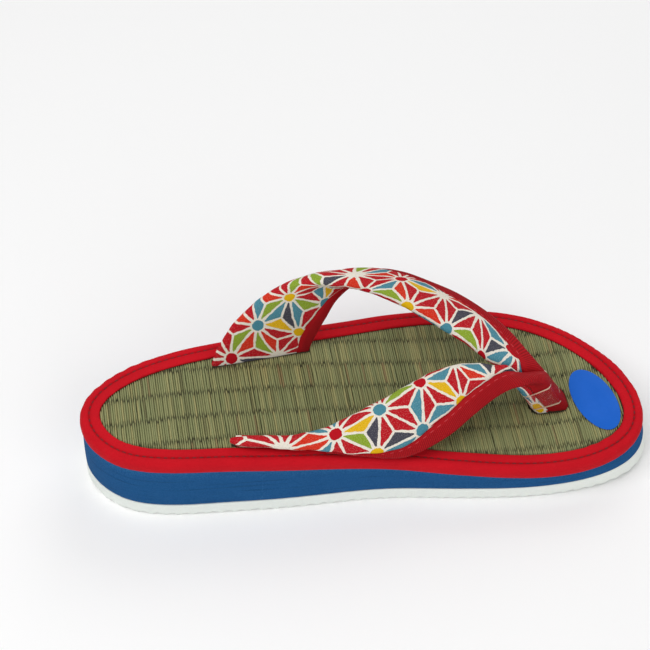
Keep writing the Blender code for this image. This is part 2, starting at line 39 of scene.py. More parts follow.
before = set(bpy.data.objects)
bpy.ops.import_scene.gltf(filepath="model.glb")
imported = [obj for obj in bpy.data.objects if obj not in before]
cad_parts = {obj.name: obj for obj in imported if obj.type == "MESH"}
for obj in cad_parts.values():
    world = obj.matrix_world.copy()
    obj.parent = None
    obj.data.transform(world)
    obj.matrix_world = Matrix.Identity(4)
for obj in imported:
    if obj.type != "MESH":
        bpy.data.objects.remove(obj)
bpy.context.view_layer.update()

# Place of the heel's back and of the sole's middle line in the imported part
HEEL_X = -0.12435
MIDDLE_Y = 0.000156

# Control points of the sole's outline: along, across
OUTLINE = (
    (-0.015, -0.100), (0.045, -0.415), (0.135, -0.520), (0.315, -0.545), (0.515, -0.400),
    (0.705, -0.490), (0.870, -0.520), (0.990, -0.405), (1.010, -0.130), (0.955, 0.195),
    (0.855, 0.440), (0.715, 0.525), (0.475, 0.455), (0.230, 0.490), (0.020, 0.255),
)

# Height of the binding's top: along, share of heel above ball, share of toe above ball
TOP_LINE = (
    (0.000, 0.940, 0.00), (0.125, 1.000, 0.00), (0.250, 0.936, 0.00), (0.375, 0.766, 0.00),
    (0.500, 0.520, 0.00), (0.625, 0.263, 0.00), (0.750, 0.058, 0.00), (0.850, 0.000, 0.00),
    (0.930, 0.000, 0.35), (1.000, 0.000, 1.00),
)

# The straps' rows: inner along, across, lift, edge along, across, lift, padding, tape, wrap
INNER_STRAP = (
    (0.254, -0.366, 0.03, 0.252, -0.398, 0.00, 0.42, 0.00, 0.0),
    (0.268, -0.370, 0.05, 0.266, -0.424, 0.00, 0.62, 0.00, 0.0),
    (0.301, -0.375, 0.10, 0.297, -0.440, 0.01, 0.75, 0.00, 0.0),
    (0.361, -0.378, 0.15, 0.353, -0.443, 0.01, 0.82, 0.00, 0.0),
    (0.417, -0.339, 0.25, 0.413, -0.445, 0.01, 0.88, 0.04, 0.0),
    (0.470, -0.274, 0.39, 0.474, -0.446, 0.01, 0.94, 0.08, 0.0),
    (0.532, -0.197, 0.54, 0.549, -0.437, 0.03, 1.00, 0.50, 0.0),
    (0.590, -0.120, 0.66, 0.625, -0.360, 0.23, 1.00, 0.92, 0.0),
    (0.641, -0.077, 0.77, 0.680, -0.283, 0.47, 0.95, 0.98, 0.0),
    (0.686, -0.076, 0.86, 0.717, -0.235, 0.64, 0.88, 0.96, 0.0),
    (0.720, -0.088, 0.85, 0.747, -0.209, 0.75, 0.82, 1.00, 0.1),
    (0.741, -0.105, 0.80, 0.776, -0.198, 0.80, 0.78, 1.08, 0.3),
)
OUTER_STRAP = (
    (0.241, 0.272, 0.00, 0.424, 0.318, 0.00, 0.42, 0.75, 0.0),
    (0.270, 0.332, 0.26, 0.437, 0.332, 0.13, 0.55, 0.88, 0.0),
    (0.311, 0.380, 0.49, 0.454, 0.346, 0.32, 0.75, 0.75, 0.0),
    (0.363, 0.400, 0.70, 0.475, 0.372, 0.52, 0.85, 0.55, 0.0),
    (0.420, 0.370, 0.84, 0.507, 0.396, 0.67, 0.95, 0.48, 0.0),
    (0.484, 0.282, 0.91, 0.552, 0.413, 0.79, 1.00, 0.48, 0.0),
    (0.536, 0.230, 0.86, 0.599, 0.415, 0.73, 1.00, 0.50, 0.0),
    (0.593, 0.175, 0.75, 0.650, 0.406, 0.59, 1.00, 0.64, 0.0),
    (0.645, 0.109, 0.62, 0.701, 0.362, 0.50, 0.95, 0.82, 0.0),
    (0.690, 0.024, 0.56, 0.745, 0.252, 0.48, 0.90, 0.82, 0.0),
    (0.722, -0.040, 0.47, 0.777, 0.128, 0.48, 0.84, 0.84, 0.1),
    (0.745, -0.070, 0.43, 0.805, -0.008, 0.43, 0.80, 0.90, 0.3),
)
FIRST_TAPED_ROW = 4

# The toe post: rear along, rear rise, front along, front rise, spread, wrap
POST = (
    (0.763, 0.78, 0.820, 0.83, 1.08, 0.6),
    (0.781, 0.43, 0.840, 0.46, 0.92, 1.0),
    (0.803, 0.00, 0.8665, 0.00, 0.92, 1.0),
)
POST_ACROSS = -0.104
POST_LEAN = 0.55
POST_PADDING = 0.80
POST_TAPE = 1.10
OVER_CROWN = 1.08
UNDER_CROWN = 0.92
WRAPPED_TAPE = 0.84

# Dots of the print on each strap: along and across the cloth in millimetres, lattice column and row
INNER_DOTS = (
    (-7.0, 10.0, -2, 5), (23.0, 8.0, -1, 5),
    (44.1, 6.3, 0, 5), (64.6, 5.0, 1, 5), (85.7, 3.2, 2, 5), (103.7, 1.2, 3, 5),
    (60.0, 22.2, 1, 4), (79.0, 22.2, 2, 4), (97.5, 19.1, 3, 4), (114.9, 11.0, 4, 4), (152.4, -5.1, 5, 5),
)
OUTER_DOTS = (
    (7.7, -8.2, -4, 0), (28.5, -10.2, -3, 0), (49.8, -8.3, -2, 0), (69.4, -5.8, -1, 0),
    (23.4, -32.8, -2, -1), (48.3, -27.2, -1, -1), (84.0, 5.6, -1, 1), (91.2, -1.2, 0, 0),
    (100.0, 14.6, 0, 1), (111.6, -0.2, 1, 0), (122.0, 18.4, 1, 1), (131.4, 0.3, 2, 0),
    (140.4, 20.1, 2, 1), (150.8, -0.7, 3, 0), (158.3, 11.2, 3, 1),
)
WARP_SOFTNESS = 4.0

# Creases of the cloth: side, start along and across, end along and across, depth, half width, in millimetres
CREASES = (
    (1, 56.0, -13.0, 70.0, -6.0, 0.7, 1.6), (1, 63.0, -17.0, 73.0, -9.0, 0.6, 1.5),
    (1, 72.0, -4.0, 78.0, 6.0, 0.4, 1.6), (1, 146.0, 4.0, 156.0, 12.0, 0.4, 1.7),
    (1, 160.0, -2.0, 168.0, 6.0, 0.5, 1.6), (-1, 6.0, 4.0, 18.0, 11.0, 0.4, 1.6),
    (-1, 28.0, 3.0, 38.0, 14.0, 0.35, 1.7), (-1, 116.0, -1.0, 126.0, 8.0, 0.5, 1.6),
    (-1, 124.0, -4.0, 134.0, 4.0, 0.5, 1.6),
)

# Lattice rows of the print: row, first column, cells of the lower triangles, of the upper triangles, dots.
# Rows -2 to 1 are on the outer strap and 3 to 5 on the inner; a full stop is a star without a dot.
PRINT_CHART = (
    (-2, -5, "rrr rrr rrr rrr rrr rrt rrr grr rrr", "rrr ror rrr rrr rrr rtr rrr rrc rrr", "r.y..t.r.t"),
    (-1, -5, "tcr ctr ror gtr tyr rrc orr trr rgr", "crt rgo yct rtr ror grr rrt crr rtr", "tr.yty.rtr"),
    (0, -5, "rtr rrg otg rgo orr otg rro rrg ttr", "rro orr rrt gcr rrr rry rcr rct rct", "trty.rytrt"),
    (1, -5, "rrt ror trg rrr rto rrt cro rtr rgr", "rtr crr rot grr rrr tro rrr ryr rtr", "tyrt.r..rt"),
    (3, -2, "rrr rtr rrt rrr rtr rrr orr rtr", "rrr rrr rrr rrt rrr rrr rtr rrr", "..y..r.t."),
    (4, -2, "rrr rot rrt rrc rrt orr trc orr", "rro rto gcy rtr yrt tct tot rcr", "t.ryty.r."),
    (5, -2, "rrr tro rrr trg rrr rtr tor rrt", "rrr rtr rro rtr orr rtc rot rtr", "..rtr.tyr"),
)

# Small spaces and steps
GAP = 0.0003
TAPE_GAP = 0.0009
ANCHOR_GAP = 0.0008
STATIONS = 180
ROW_STEPS = 9
PAD_STEPS = 16
BAND_STEPS = 96
BAND_DROP = 0.0034
BAND_WALL = (0.00012, 0.00042)

# The rubber's side: its inset from the binding, and the shares of its thickness where rings lie
RUBBER_INSET = 0.0008
RUBBER_RINGS = (0.10, 0.30, 0.60, 0.90)

# The foam's side: share of its height, inset, share of the toe's flare
FOAM_PROFILE = (
    (0.0, 0.0014, 0.6), (0.015, 0.0010, 0.59), (0.04, 0.0008, 0.575), (0.15, 0.0007, 0.51),
    (0.35, 0.0006, 0.39), (0.6, 0.0006, 0.24), (0.85, 0.0007, 0.09), (0.965, 0.0008, 0.02),
    (0.99, 0.0010, 0.005), (1.0, 0.0015, 0.0),
)
FOAM_SCUFF_X = -0.0505

# Where the straps go down through the mat: start and end along, middle across, sides from the middle
INNER_SLOT = (0.253, 0.385)
INNER_SLOT_ACROSS = -0.356
INNER_SLOT_SIDES = (-0.0023, 0.0014)
OUTER_SLOT_HALF = 0.0022
POST_HOLE_ALONG = 0.836
POST_HOLE_REACH = 0.036
POST_HOLE_HALF = 0.0068

# The inner strap's tongue in its slot: places along, then its section as share aside and share up
TONGUE_PLACES = (0.262, 0.272, 0.300, 0.330, 0.360, 0.374, 0.377)
TONGUE_SECTION = (
    (-1.0, 0.0), (-0.6, -0.02), (0.6, -0.02), (1.0, 0.0),
    (1.0, 0.9), (0.6, 1.0), (-0.6, 1.0), (-1.0, 0.9),
)
TONGUE_HALF = 0.0012
TONGUE_ASIDE = 0.0007

# Rush stems: height over the base, how far neighbours are staggered, the shortest that is laid
STEM_HEIGHT = 0.00125
STEM_STAGGER = 0.0006
SHORTEST_STEM = 0.0006
MAT_INSET = 0.0015

# The tape's section: share across, height
TAPE_OUTLINE = (
    (0.00, 0.86), (0.06, 1.00), (0.14, 0.99), (0.20, 0.90), (0.26, 1.02), (0.45, 1.08),
    (0.64, 1.08), (0.80, 1.00), (0.92, 0.70), (0.98, 0.34), (1.00, 0.00), (0.98, -0.34),
    (0.92, -0.70), (0.80, -1.00), (0.45, -1.00), (0.20, -1.00), (0.00, -0.86),
)

# Stitches of the edging: distance from one to the next, length, radius
TAPE_STITCH = (0.0040, 0.0024, 0.00018)

# The oval label: place along and across, half length, half width, turn, and its rings as reach and lift
STICKER_PLACE = (0.919, -0.142)
STICKER_HALVES = (0.01775, 0.0089)
STICKER_TURN = math.radians(12.5)
STICKER_RINGS = (
    (0.0, 0.0006), (0.5, 0.00063), (0.97, 0.00062), (1.0, 0.00050), (1.0, 0.00025), (0.0, 0.0002),
)
STICKER_STEPS = 96


def paint(red, green, blue):
    """A colour read from a photo's 0 to 255 values, as Blender's linear one."""
    return tuple(((value / 255.0 + 0.055) / 1.055) ** 2.4 for value in (red, green, blue))


def size(name, description, default):
    return FloatProperty(name=name, description=description, default=default, min=0.0,
                         unit="LENGTH", precision=5)


def colour(name, description, *values):
    return FloatVectorProperty(name=name, description=description, default=paint(*values),
                               subtype="COLOR", min=0.0, max=1.0)


class ZoriSizes(bpy.types.PropertyGroup):
    length: size("Length", "Heel to toe of the bound mat", 0.245)
    ball_width: size("Ball width", "Width across the ball", 0.094)
    heel_width: size("Heel width", "Width across the heel", 0.068)
    heel_height: size("Heel height", "Floor to the binding at the heel", 0.0375)
    ball_height: size("Ball height", "Floor to the binding at the ball", 0.0204)
    toe_height: size("Toe height", "Floor to the binding at the toe", 0.0239)
    outsole: size("Outsole", "Thickness of the rubber sole", 0.007)
    toe_spring: size("Toe spring", "Lift of the sole at the toe", 0.0028)
    toe_flare: size("Toe flare", "How far the rubber stands out at the toe", 0.0045)
    ripple_pitch: size("Ripple pitch", "Distance between tread ripples", 0.006)
    ripple_depth: size("Ripple depth", "Depth of the tread ripples", 0.0009)
    ripple_crest: size("Ripple crest", "Flat width of each ripple", 0.0022)
    binding_width: size("Binding width", "Width of the red binding on top", 0.0084)
    binding_drop: size("Binding drop", "Height of the red binding's side", 0.0062)
    binding_groove: size("Binding groove", "Edge to the sewn groove", 0.0040)
    mat_edge: size("Mat edge", "Binding's top to the mat's margin", 0.0015)
    stem_pitch: size("Stem pitch", "Distance between rush stems", 0.00094)
    warp_pitch: size("Warp pitch", "Distance between warp lines", 0.0128)
    warp_start: size("Warp start", "Place of one warp line across the mat", 0.0036)
    padding: size("Padding", "Thickness of the padded straps", 0.008)
    inner_arch: size("Inner arch", "Rise of the inner strap", 0.026)
    outer_arch: size("Outer arch", "Rise of the outer strap", 0.043)
    tape_width: size("Tape width", "Width of the red edging", 0.008)
    tape_thickness: size("Tape thickness", "Thickness of the red edging", 0.0024)
    post_height: size("Post height", "Mat to the top of the toe post", 0.023)
    print_repeat: size("Print repeat", "Distance between dots of the print", 0.021)
    print_line: size("Print line", "Width of the print's cream lines", 0.00108)
    print_dot: size("Print dot", "Radius of the print's dots", 0.0028)
    stitch: size("Stitch", "Length of one stitch with its space", 0.0030)


class ZoriColours(bpy.types.PropertyGroup):
    rubber: colour("Rubber", "Off-white sole", 240, 245, 239)
    foam: colour("Foam", "Blue wedge", 20, 80, 134)
    foam_light: colour("Foam light", "Rubbed foam", 52, 112, 164)
    binding: colour("Binding", "Red binding cloth", 200, 14, 30)
    thread: colour("Thread", "Dark stitches in the binding", 124, 6, 16)
    rush_green: colour("Rush green", "Green rush", 136, 142, 98)
    rush_straw: colour("Rush straw", "Straw-coloured rush", 170, 164, 112)
    # Rush dark is also, much darkened, the painted shade between the stems and on the mat's base
    rush_dark: colour("Rush dark", "Dull rush and gaps", 92, 88, 56)
    rush_brown: colour("Rush brown", "Reddish-brown rush", 128, 86, 62)
    cream: colour("Cream", "Cloth ground and lines", 240, 233, 219)
    red: colour("Red", "Print red", 190, 14, 30)
    orange: colour("Orange", "Print orange-red", 218, 48, 22)
    teal: colour("Teal", "Print teal", 76, 140, 158)
    green: colour("Green", "Print green", 142, 168, 48)
    mustard: colour("Mustard", "Print mustard", 232, 184, 18)
    charcoal: colour("Charcoal", "Print charcoal", 70, 70, 82)
    tape: colour("Tape", "Red edging", 184, 14, 26)
    tape_thread: colour("Tape thread", "Stitches in the edging", 204, 60, 68)
    sticker: colour("Sticker", "Blue label", 0, 94, 198)
    vinyl: colour("Vinyl", "Edges of the clear band", 236, 212, 186)
    floor: colour("Floor", "Pale floor", 255, 255, 255)


# Shape of the sole


def smooth_share(value):
    held = min(max(value, 0.0), 1.0)
    return held * held * (3.0 - 2.0 * held)


def catmull(before, start, end, after, share):
    square = share * share
    cube = square * share
    return 0.5 * (2.0 * start + (end - before) * share
                  + (2.0 * before - 5.0 * start + 4.0 * end - after) * square
                  + (3.0 * start - before - 3.0 * end + after) * cube)


class Sole:
    """The sole's outline and heights, worked out from the sizes."""

    def __init__(self, sizes):
        self.sizes = sizes
        points = np.array(OUTLINE)
        shares = np.linspace(0.0, 1.0, 48, endpoint=False)[:, None]
        pieces = []
        for index in range(len(points)):
            before, start, end, after = (points[(index + step) % len(points)] for step in (-1, 0, 1, 2))
            pieces.append(((1 - shares) ** 3 * before + (3 * shares ** 3 - 6 * shares ** 2 + 4) * start
                           + (-3 * shares ** 3 + 3 * shares ** 2 + 3 * shares + 1) * end
                           + shares ** 3 * after) / 6.0)
        curve = np.concatenate(pieces)
        lowest, highest = curve[:, 0].min(), curve[:, 0].max()
        along = (curve[:, 0] - lowest) / (highest - lowest)
        across = curve[:, 1] * np.array([self.width(value) for value in along])
        self.curve = np.column_stack([along * sizes.length, across])
        ahead = np.roll(self.curve, -1, axis=0) - np.roll(self.curve, 1, axis=0)
        ahead /= np.linalg.norm(ahead, axis=1)[:, None]
        self.outward = np.column_stack([ahead[:, 1], -ahead[:, 0]])

    def width(self, along):
        share = smooth_share((along - 0.20) / 0.45)
        return self.sizes.heel_width + (self.sizes.ball_width - self.sizes.heel_width) * share

    def top(self, x):
        along = min(max(x / self.sizes.length, 0.0), 1.0)
        places = [row[0] for row in TOP_LINE]
        index = min(max(int(np.searchsorted(places, along)) - 1, 0), len(places) - 2)
        share = (along - places[index]) / (places[index + 1] - places[index])
        picks = [max(index - 1, 0), index, index + 1, min(index + 2, len(places) - 1)]
        heel = catmull(*[TOP_LINE[pick][1] for pick in picks], share)
        toe = catmull(*[TOP_LINE[pick][2] for pick in picks], share)
        ball = self.sizes.ball_height
        return ball + (self.sizes.heel_height - ball) * heel + (self.sizes.toe_height - ball) * toe

    def bottom(self, x):
        lift = max(x / self.sizes.length - 0.73, 0.0) / 0.27
        return self.sizes.toe_spring * lift * lift

    def moved(self, inset, flare):
        share = np.clip((self.curve[:, 0] / self.sizes.length - 0.80) / 0.20, 0.0, 1.0) ** 2
        return self.curve + self.outward * (flare * self.sizes.toe_flare * share - inset)[:, None]

    def stations(self, count=STATIONS):
        return [0.5 - 0.5 * math.cos(math.pi * step / (count - 1)) for step in range(count)]

    def sides(self, inset, flare=0.0, shares=None):
        """Places along the sole, and the inner and outer side at each."""
        curve = self.moved(inset, flare)
        first, last = int(curve[:, 0].argmin()), int(curve[:, 0].argmax())
        turned = np.roll(curve, -first, axis=0)
        split = (last - first) % len(curve)
        near = turned[:split + 1]
        far = np.vstack([turned[split:], turned[:1]])[::-1]
        places = near[0, 0] + (near[-1, 0] - near[0, 0]) * np.array(shares or self.stations())
        return places, np.interp(places, near[:, 0], near[:, 1]), np.interp(places, far[:, 0], far[:, 1])

    def ring(self, inset, height, flare=0.0, shares=None):
        places, near, far = self.sides(inset, flare, shares)
        ring = [Vector((x, y, height(x))) for x, y in zip(places, near)]
        back = [Vector((x, y, height(x))) for x, y in zip(places, far)]
        return ring + back[-2:0:-1]


def in_place(point):
    """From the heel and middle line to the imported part's own place."""
    return Vector((point.x + HEEL_X, point.y + MIDDLE_Y, point.z))


# Making meshes


def edges_of(mesh, level, closed=True):
    ends = list(zip(level, level[1:])) + ([(level[-1], level[0])] if closed else [])
    return [mesh.edges.get(pair) for pair in ends]


def skin(mesh, rings, marks=None, layer=None, closed=False):
    """Extrude a ring of points through all the others, and return its levels."""
    made = bmesh.ops.create_circle(mesh, segments=len(rings[0]), radius=1.0)
    level = made["verts"]
    levels = [level]
    for step, ring in enumerate(rings):
        if step:
            made = bmesh.ops.extrude_edge_only(mesh, edges=edges_of(mesh, level))
            fresh = {item for item in made["geom"] if isinstance(item, bmesh.types.BMVert)}
            level = [next(edge.other_vert(vert) for edge in vert.link_edges
                          if edge.other_vert(vert) in fresh) for vert in level]
            levels.append(level)
        for vert, point in zip(level, ring):
            vert.co = in_place(point)
        if marks:
            for vert, mark in zip(level, marks[step]):
                vert[layer] = mark
    if closed:
        bmesh.ops.bridge_loops(mesh, edges=edges_of(mesh, levels[-1]) + edges_of(mesh, levels[0]))
    return levels


def cap_sole(mesh, level):
    """Close a level of the sole with strips from side to side."""
    count = len(level)
    half = count // 2
    near = [mesh.edges.get((level[step], level[step + 1])) for step in range(1, half - 1)]
    far = [mesh.edges.get((level[count - step], level[count - step - 1])) for step in range(1, half - 1)]
    bmesh.ops.bridge_loops(mesh, edges=near + far)
    for corner in (0, half):
        trio = [level[corner], level[corner - 1], level[(corner + 1) % count]]
        bmesh.ops.contextual_create(mesh, geom=trio)


def finish_piece(name, mesh, material, replaced, smooth=40.0, recalculate=True):
    if recalculate:
        bmesh.ops.recalc_face_normals(mesh, faces=mesh.faces)
    data = bpy.data.meshes.new(name)
    mesh.to_mesh(data)
    mesh.free()
    data.materials.append(material)
    data.shade_smooth()
    data.set_sharp_from_angle(angle=math.radians(smooth))
    piece = bpy.data.objects.new(name, data)
    bpy.context.scene.collection.objects.link(piece)
    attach(piece, "root")
    if replaced:
        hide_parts(*replaced)
    return piece


def add_stitches(mesh, path, pitch, length, radius, lift):
    """Short threads along a path of points with their upward directions."""
    travelled = 0.0
    following = pitch * 0.5
    for (start, up), (end, _) in zip(path, path[1:]):
        step = (end - start).length
        while following < travelled + step:
            share = (following - travelled) / step
            centre = start.lerp(end, share) + up * lift
            ahead = (end - start).normalized()
            side = up.cross(ahead).normalized()
            turn = Matrix((ahead, side, ahead.cross(side))).transposed().to_4x4()
            stretch = Matrix.Diagonal((length / 2.0, radius, radius * 0.7, 1.0))
            bmesh.ops.create_icosphere(mesh, subdivisions=2, radius=1.0,
                                       matrix=Matrix.Translation(in_place(centre)) @ turn @ stretch)
            following += pitch
        travelled += step


# Shader helpers


def shade(tint, strength=1.0, lift=0.0):
    """A colour with full alpha, made darker or lighter."""
    return (*[min(value * strength + lift, 1.0) for value in tint], 1.0)


class Shading:
    """Adds nodes to a tree and joins them, with numbers or sockets as inputs."""

    def __init__(self, tree):
        self.tree = tree

    def feed(self, socket, value):
        if isinstance(value, bpy.types.NodeSocket):
            self.tree.links.new(value, socket)
        elif value is not None:
            socket.default_value = value

    def node(self, kind, inputs=None, **settings):
        node = self.tree.nodes.new(kind)
        for name, value in settings.items():
            setattr(node, name, value)
        for name, value in (inputs or {}).items():
            self.feed(node.inputs[name], value)
        return node

    def math(self, operation, *values, kind="ShaderNodeMath"):
        node = self.node(kind, operation=operation)
        for socket, value in zip(node.inputs, values):
            self.feed(socket, value)
        return node.outputs[0]

    def plus(self, first, second):
        return self.math("ADD", first, second)

    def minus(self, first, second):
        return self.math("SUBTRACT", first, second)

    def times(self, first, second):
        return self.math("MULTIPLY", first, second)

    def attribute(self, name, output="Fac"):
        return self.node("ShaderNodeAttribute", attribute_name=name).outputs[output]

    def split(self, vector):
        return self.node("ShaderNodeSeparateXYZ", {"Vector": vector}).outputs

    def mix(self, factor, first, second):
        node = self.node("ShaderNodeMix", data_type="RGBA")
        self.feed(node.inputs[0], factor)
        self.feed(node.inputs[6], first)
        self.feed(node.inputs[7], second)
        return node.outputs[2]

    def stain(self, base, mask, strength, tint):
        """The base with a tint laid over it where the mask is."""
        return self.mix(self.times(mask, strength), base, tint)

    def between(self, value, low, high):
        """0 at low and 1 at high, held at both ends."""
        node = self.node("ShaderNodeMapRange", {"Value": value, "From Min": low, "From Max": high})
        return node.outputs["Result"]

    def noise(self, vector, scale, detail=2.0, roughness=0.5, output="Fac"):
        inputs = {"Vector": vector, "Scale": scale, "Detail": detail, "Roughness": roughness}
        return self.node("ShaderNodeTexNoise", inputs).outputs[output]

    def stretched(self, vector, scale):
        return self.node("ShaderNodeMapping", {"Vector": vector, "Scale": scale}).outputs[0]

    def bump(self, height, strength, distance, normal=None):
        inputs = {"Height": height, "Strength": strength, "Distance": distance, "Normal": normal}
        return self.node("ShaderNodeBump", inputs).outputs[0]

    def ramp(self, value, stops, interpolation="LINEAR"):
        """The colour and the alpha of a ramp whose stops give place, colour and alpha."""
        node = self.node("ShaderNodeValToRGB", {"Fac": value})
        node.color_ramp.interpolation = interpolation
        points = node.color_ramp.elements
        while len(points) < len(stops):
            points.new(1.0)
        for point, (place, tint, alpha) in zip(points, stops):
            point.position = place
            point.color = (*tint, alpha)
        return node.outputs

    def placed(self, name, inputs):
        """One of the shared groups, built when it is first used."""
        tree = bpy.data.node_groups.get(name) or SHARED_GROUPS[name](name)
        return self.node("ShaderNodeGroup", inputs, node_tree=tree).outputs

    def surface(self, base, roughness, specular=None, normal=None, alpha=None, coat=None):
        """Join the finish to the material's own shader."""
        shader = self.tree.nodes["Principled BSDF"]
        for name, value in (("Base Color", base), ("Roughness", roughness), ("Specular IOR Level", specular),
                            ("Normal", normal), ("Alpha", alpha), ("Coat Weight", coat)):
            self.feed(shader.inputs[name], value)


def group(name, inputs, outputs):
    """A shader node group that takes a vector and the named numbers, and puts out numbers."""
    tree = bpy.data.node_groups.new(name, "ShaderNodeTree")
    tree.interface.new_socket(name="Vector", in_out="INPUT", socket_type="NodeSocketVector")
    for label, default in inputs:
        socket = tree.interface.new_socket(name=label, in_out="INPUT", socket_type="NodeSocketFloat")
        socket.default_value = default
    for label in outputs:
        tree.interface.new_socket(name=label, in_out="OUTPUT", socket_type="NodeSocketFloat")
    shading = Shading(tree)
    start = shading.node("NodeGroupInput")
    end = shading.node("NodeGroupOutput")
    return shading, start.outputs, end.inputs


def cloth_grain_group(name):
    """Crossed threads with uneven yarn, as a height and a light and dark mottle; the mottle follows the
    crinkle, so the cloths use it for painted highlight and shade too.
    """
    s, given, out = group(name, [("Threads", 2400.0), ("Crinkle", 900.0)], ["Height", "Mottle"])
    place = s.split(given["Vector"])
    warp = s.math("SINE", s.times(s.plus(place[0], place[2]), given["Threads"]))
    weft = s.math("SINE", s.times(s.minus(place[1], place[2]), given["Threads"]))
    weave = s.times(s.math("MAXIMUM", warp, weft), 0.35)
    crinkle = s.noise(given["Vector"], given["Crinkle"], 3.0, 0.6)
    s.feed(out["Height"], s.plus(weave, crinkle))
    # The mottle shares the crinkle's noise, so it is highest on the crinkles' tops
    s.feed(out["Mottle"], s.noise(given["Vector"], given["Crinkle"], 1.0))
    return s.tree


def wear_group(name):
    """Broad unevenness and small specks, for colours and roughness."""
    s, given, out = group(name, [("Broad", 30.0), ("Fine", 700.0)], ["Clouds", "Specks"])
    s.feed(out["Clouds"], s.between(s.noise(given["Vector"], given["Broad"], 4.0, 0.6), 0.3, 0.7))
    s.feed(out["Specks"], s.between(s.noise(given["Vector"], given["Fine"], 2.0, 0.7), 0.35, 0.65))
    return s.tree


def print_group(name):
    """A hemp-leaf lattice: distances to its lines and dots, and where each cell and dot is."""
    outputs = ["Line", "Dot", "Row", "Upper", "Cell", "Dot Row", "Dot Column"]
    s, given, out = group(name, [("Repeat", 21.0)], outputs)
    repeat = given["Repeat"]
    place = s.split(given["Vector"])
    tall = s.times(repeat, math.sqrt(0.75))
    up = s.math("DIVIDE", place[1], tall)
    along = s.minus(s.math("DIVIDE", place[0], repeat), s.times(up, 0.5))
    column, row = s.math("FLOOR", along), s.math("FLOOR", up)
    part_along, part_up = s.minus(along, column), s.minus(up, row)
    total = s.plus(part_along, part_up)
    upper = s.math("GREATER_THAN", total, 1.0)
    first = s.math("ABSOLUTE", s.minus(1.0, total))
    flip = s.minus(1.0, s.times(upper, 2.0))
    second = s.plus(s.times(part_along, flip), upper)
    third = s.plus(s.times(part_up, flip), upper)
    least = s.math("MINIMUM", first, s.math("MINIMUM", second, third))
    most = s.math("MAXIMUM", first, s.math("MAXIMUM", second, third))
    middle = s.minus(s.minus(1.0, least), most)
    ray = s.times(s.minus(middle, least), s.math("DIVIDE", tall, math.sqrt(3.0)))
    s.feed(out["Line"], s.math("SMOOTH_MIN", s.times(least, tall), ray, 0.9))
    squares = s.plus(s.times(least, least), s.times(middle, middle))
    spread = s.math("SQRT", s.plus(squares, s.times(least, middle)))
    s.feed(out["Dot"], s.times(spread, repeat))
    in_second = s.math("LESS_THAN", second, s.math("MINIMUM", first, third))
    in_third = s.math("LESS_THAN", third, s.math("MINIMUM", first, second))
    share = s.plus(in_second, s.times(in_third, 2.0))
    s.feed(out["Row"], row)
    s.feed(out["Upper"], upper)
    s.feed(out["Cell"], s.plus(s.times(column, 3.0), share))
    by_second = s.math("GREATER_THAN", second, s.math("MAXIMUM", first, third))
    by_third = s.math("GREATER_THAN", third, s.math("MAXIMUM", first, second))
    s.feed(out["Dot Column"], s.plus(column, s.math("ABSOLUTE", s.minus(upper, by_second))))
    s.feed(out["Dot Row"], s.plus(row, s.math("ABSOLUTE", s.minus(upper, by_third))))
    return s.tree


SHARED_GROUPS = {
    "Cloth grain": cloth_grain_group,
    "Handling": wear_group,
    "Hemp-leaf lattice": print_group,
}


# Materials


def new_material(name):
    """A material with a bare Principled shader, its nodes, and the piece's own coordinates."""
    material = bpy.data.materials.new(name)
    material.use_nodes = True
    shading = Shading(material.node_tree)
    return material, shading, shading.node("ShaderNodeTexCoord").outputs["Object"]


def rubber_material(colours):
    """Off-white rubber, greyer in patches just above the floor."""
    material, s, place = new_material("outsole rubber")
    wear = s.placed("Handling", {"Vector": place, "Broad": 45.0, "Fine": 1400.0})
    # Greyer in cloudy patches over the lowest 2.2 mm of the rubber
    low_grey = s.times(s.between(s.split(place)[2], 0.0022, 0.0), wear["Clouds"])
    grey = shade(colours.rubber, 0.72)
    base = s.stain(shade(colours.rubber), wear["Specks"], 0.10, grey)
    base = s.stain(base, low_grey, 0.35, grey)
    upright = s.noise(s.stretched(place, (900.0, 900.0, 60.0)), 1.0)
    s.surface(base, s.plus(s.times(wear["Clouds"], 0.12), 0.52),
              normal=s.bump(s.plus(upright, wear["Specks"]), 0.35, 0.00015))
    return material


def foam_material(colours):
    """Matt foam with flat wrinkles in painted shade, a rubbed upper edge and one upright scuff."""
    material, s, place = new_material("midsole foam")
    wear = s.placed("Handling", {"Vector": place, "Broad": 26.0, "Fine": 1500.0})
    cells = s.node("ShaderNodeTexVoronoi", {"Vector": place, "Scale": 1900.0}).outputs["Distance"]
    wrinkles = s.noise(s.stretched(place, (26.0, 26.0, 620.0)), 1.0, 3.0, 0.65)
    rubbed = s.between(s.plus(s.attribute("level"), s.times(wear["Specks"], 0.16)), 0.90, 1.08)
    off_scuff = s.math("ABSOLUTE", s.minus(s.split(place)[0], FOAM_SCUFF_X))
    scuff = s.times(s.between(off_scuff, 0.00045, 0.0001), s.between(wear["Specks"], 0.3, 0.9))
    light = shade(colours.foam_light)
    base = s.stain(shade(colours.foam), wear["Specks"], 0.34, light)
    base = s.stain(base, wear["Clouds"], 0.16, shade(colours.foam, 0.6))
    # Painted shade: the wrinkles are darkened as if shade lay in their creases
    base = s.stain(base, s.between(wrinkles, 0.54, 0.68), 0.40, shade(colours.foam, 0.55))
    base = s.stain(base, rubbed, 0.55, light)
    base = s.stain(base, scuff, 0.5, light)
    grain = s.bump(s.plus(s.times(cells, 0.9), s.times(wear["Specks"], 0.7)), 0.5, 0.00018)
    s.surface(base, 0.88, 0.12, s.bump(wrinkles, 0.35, 0.0006, grain))
    return material


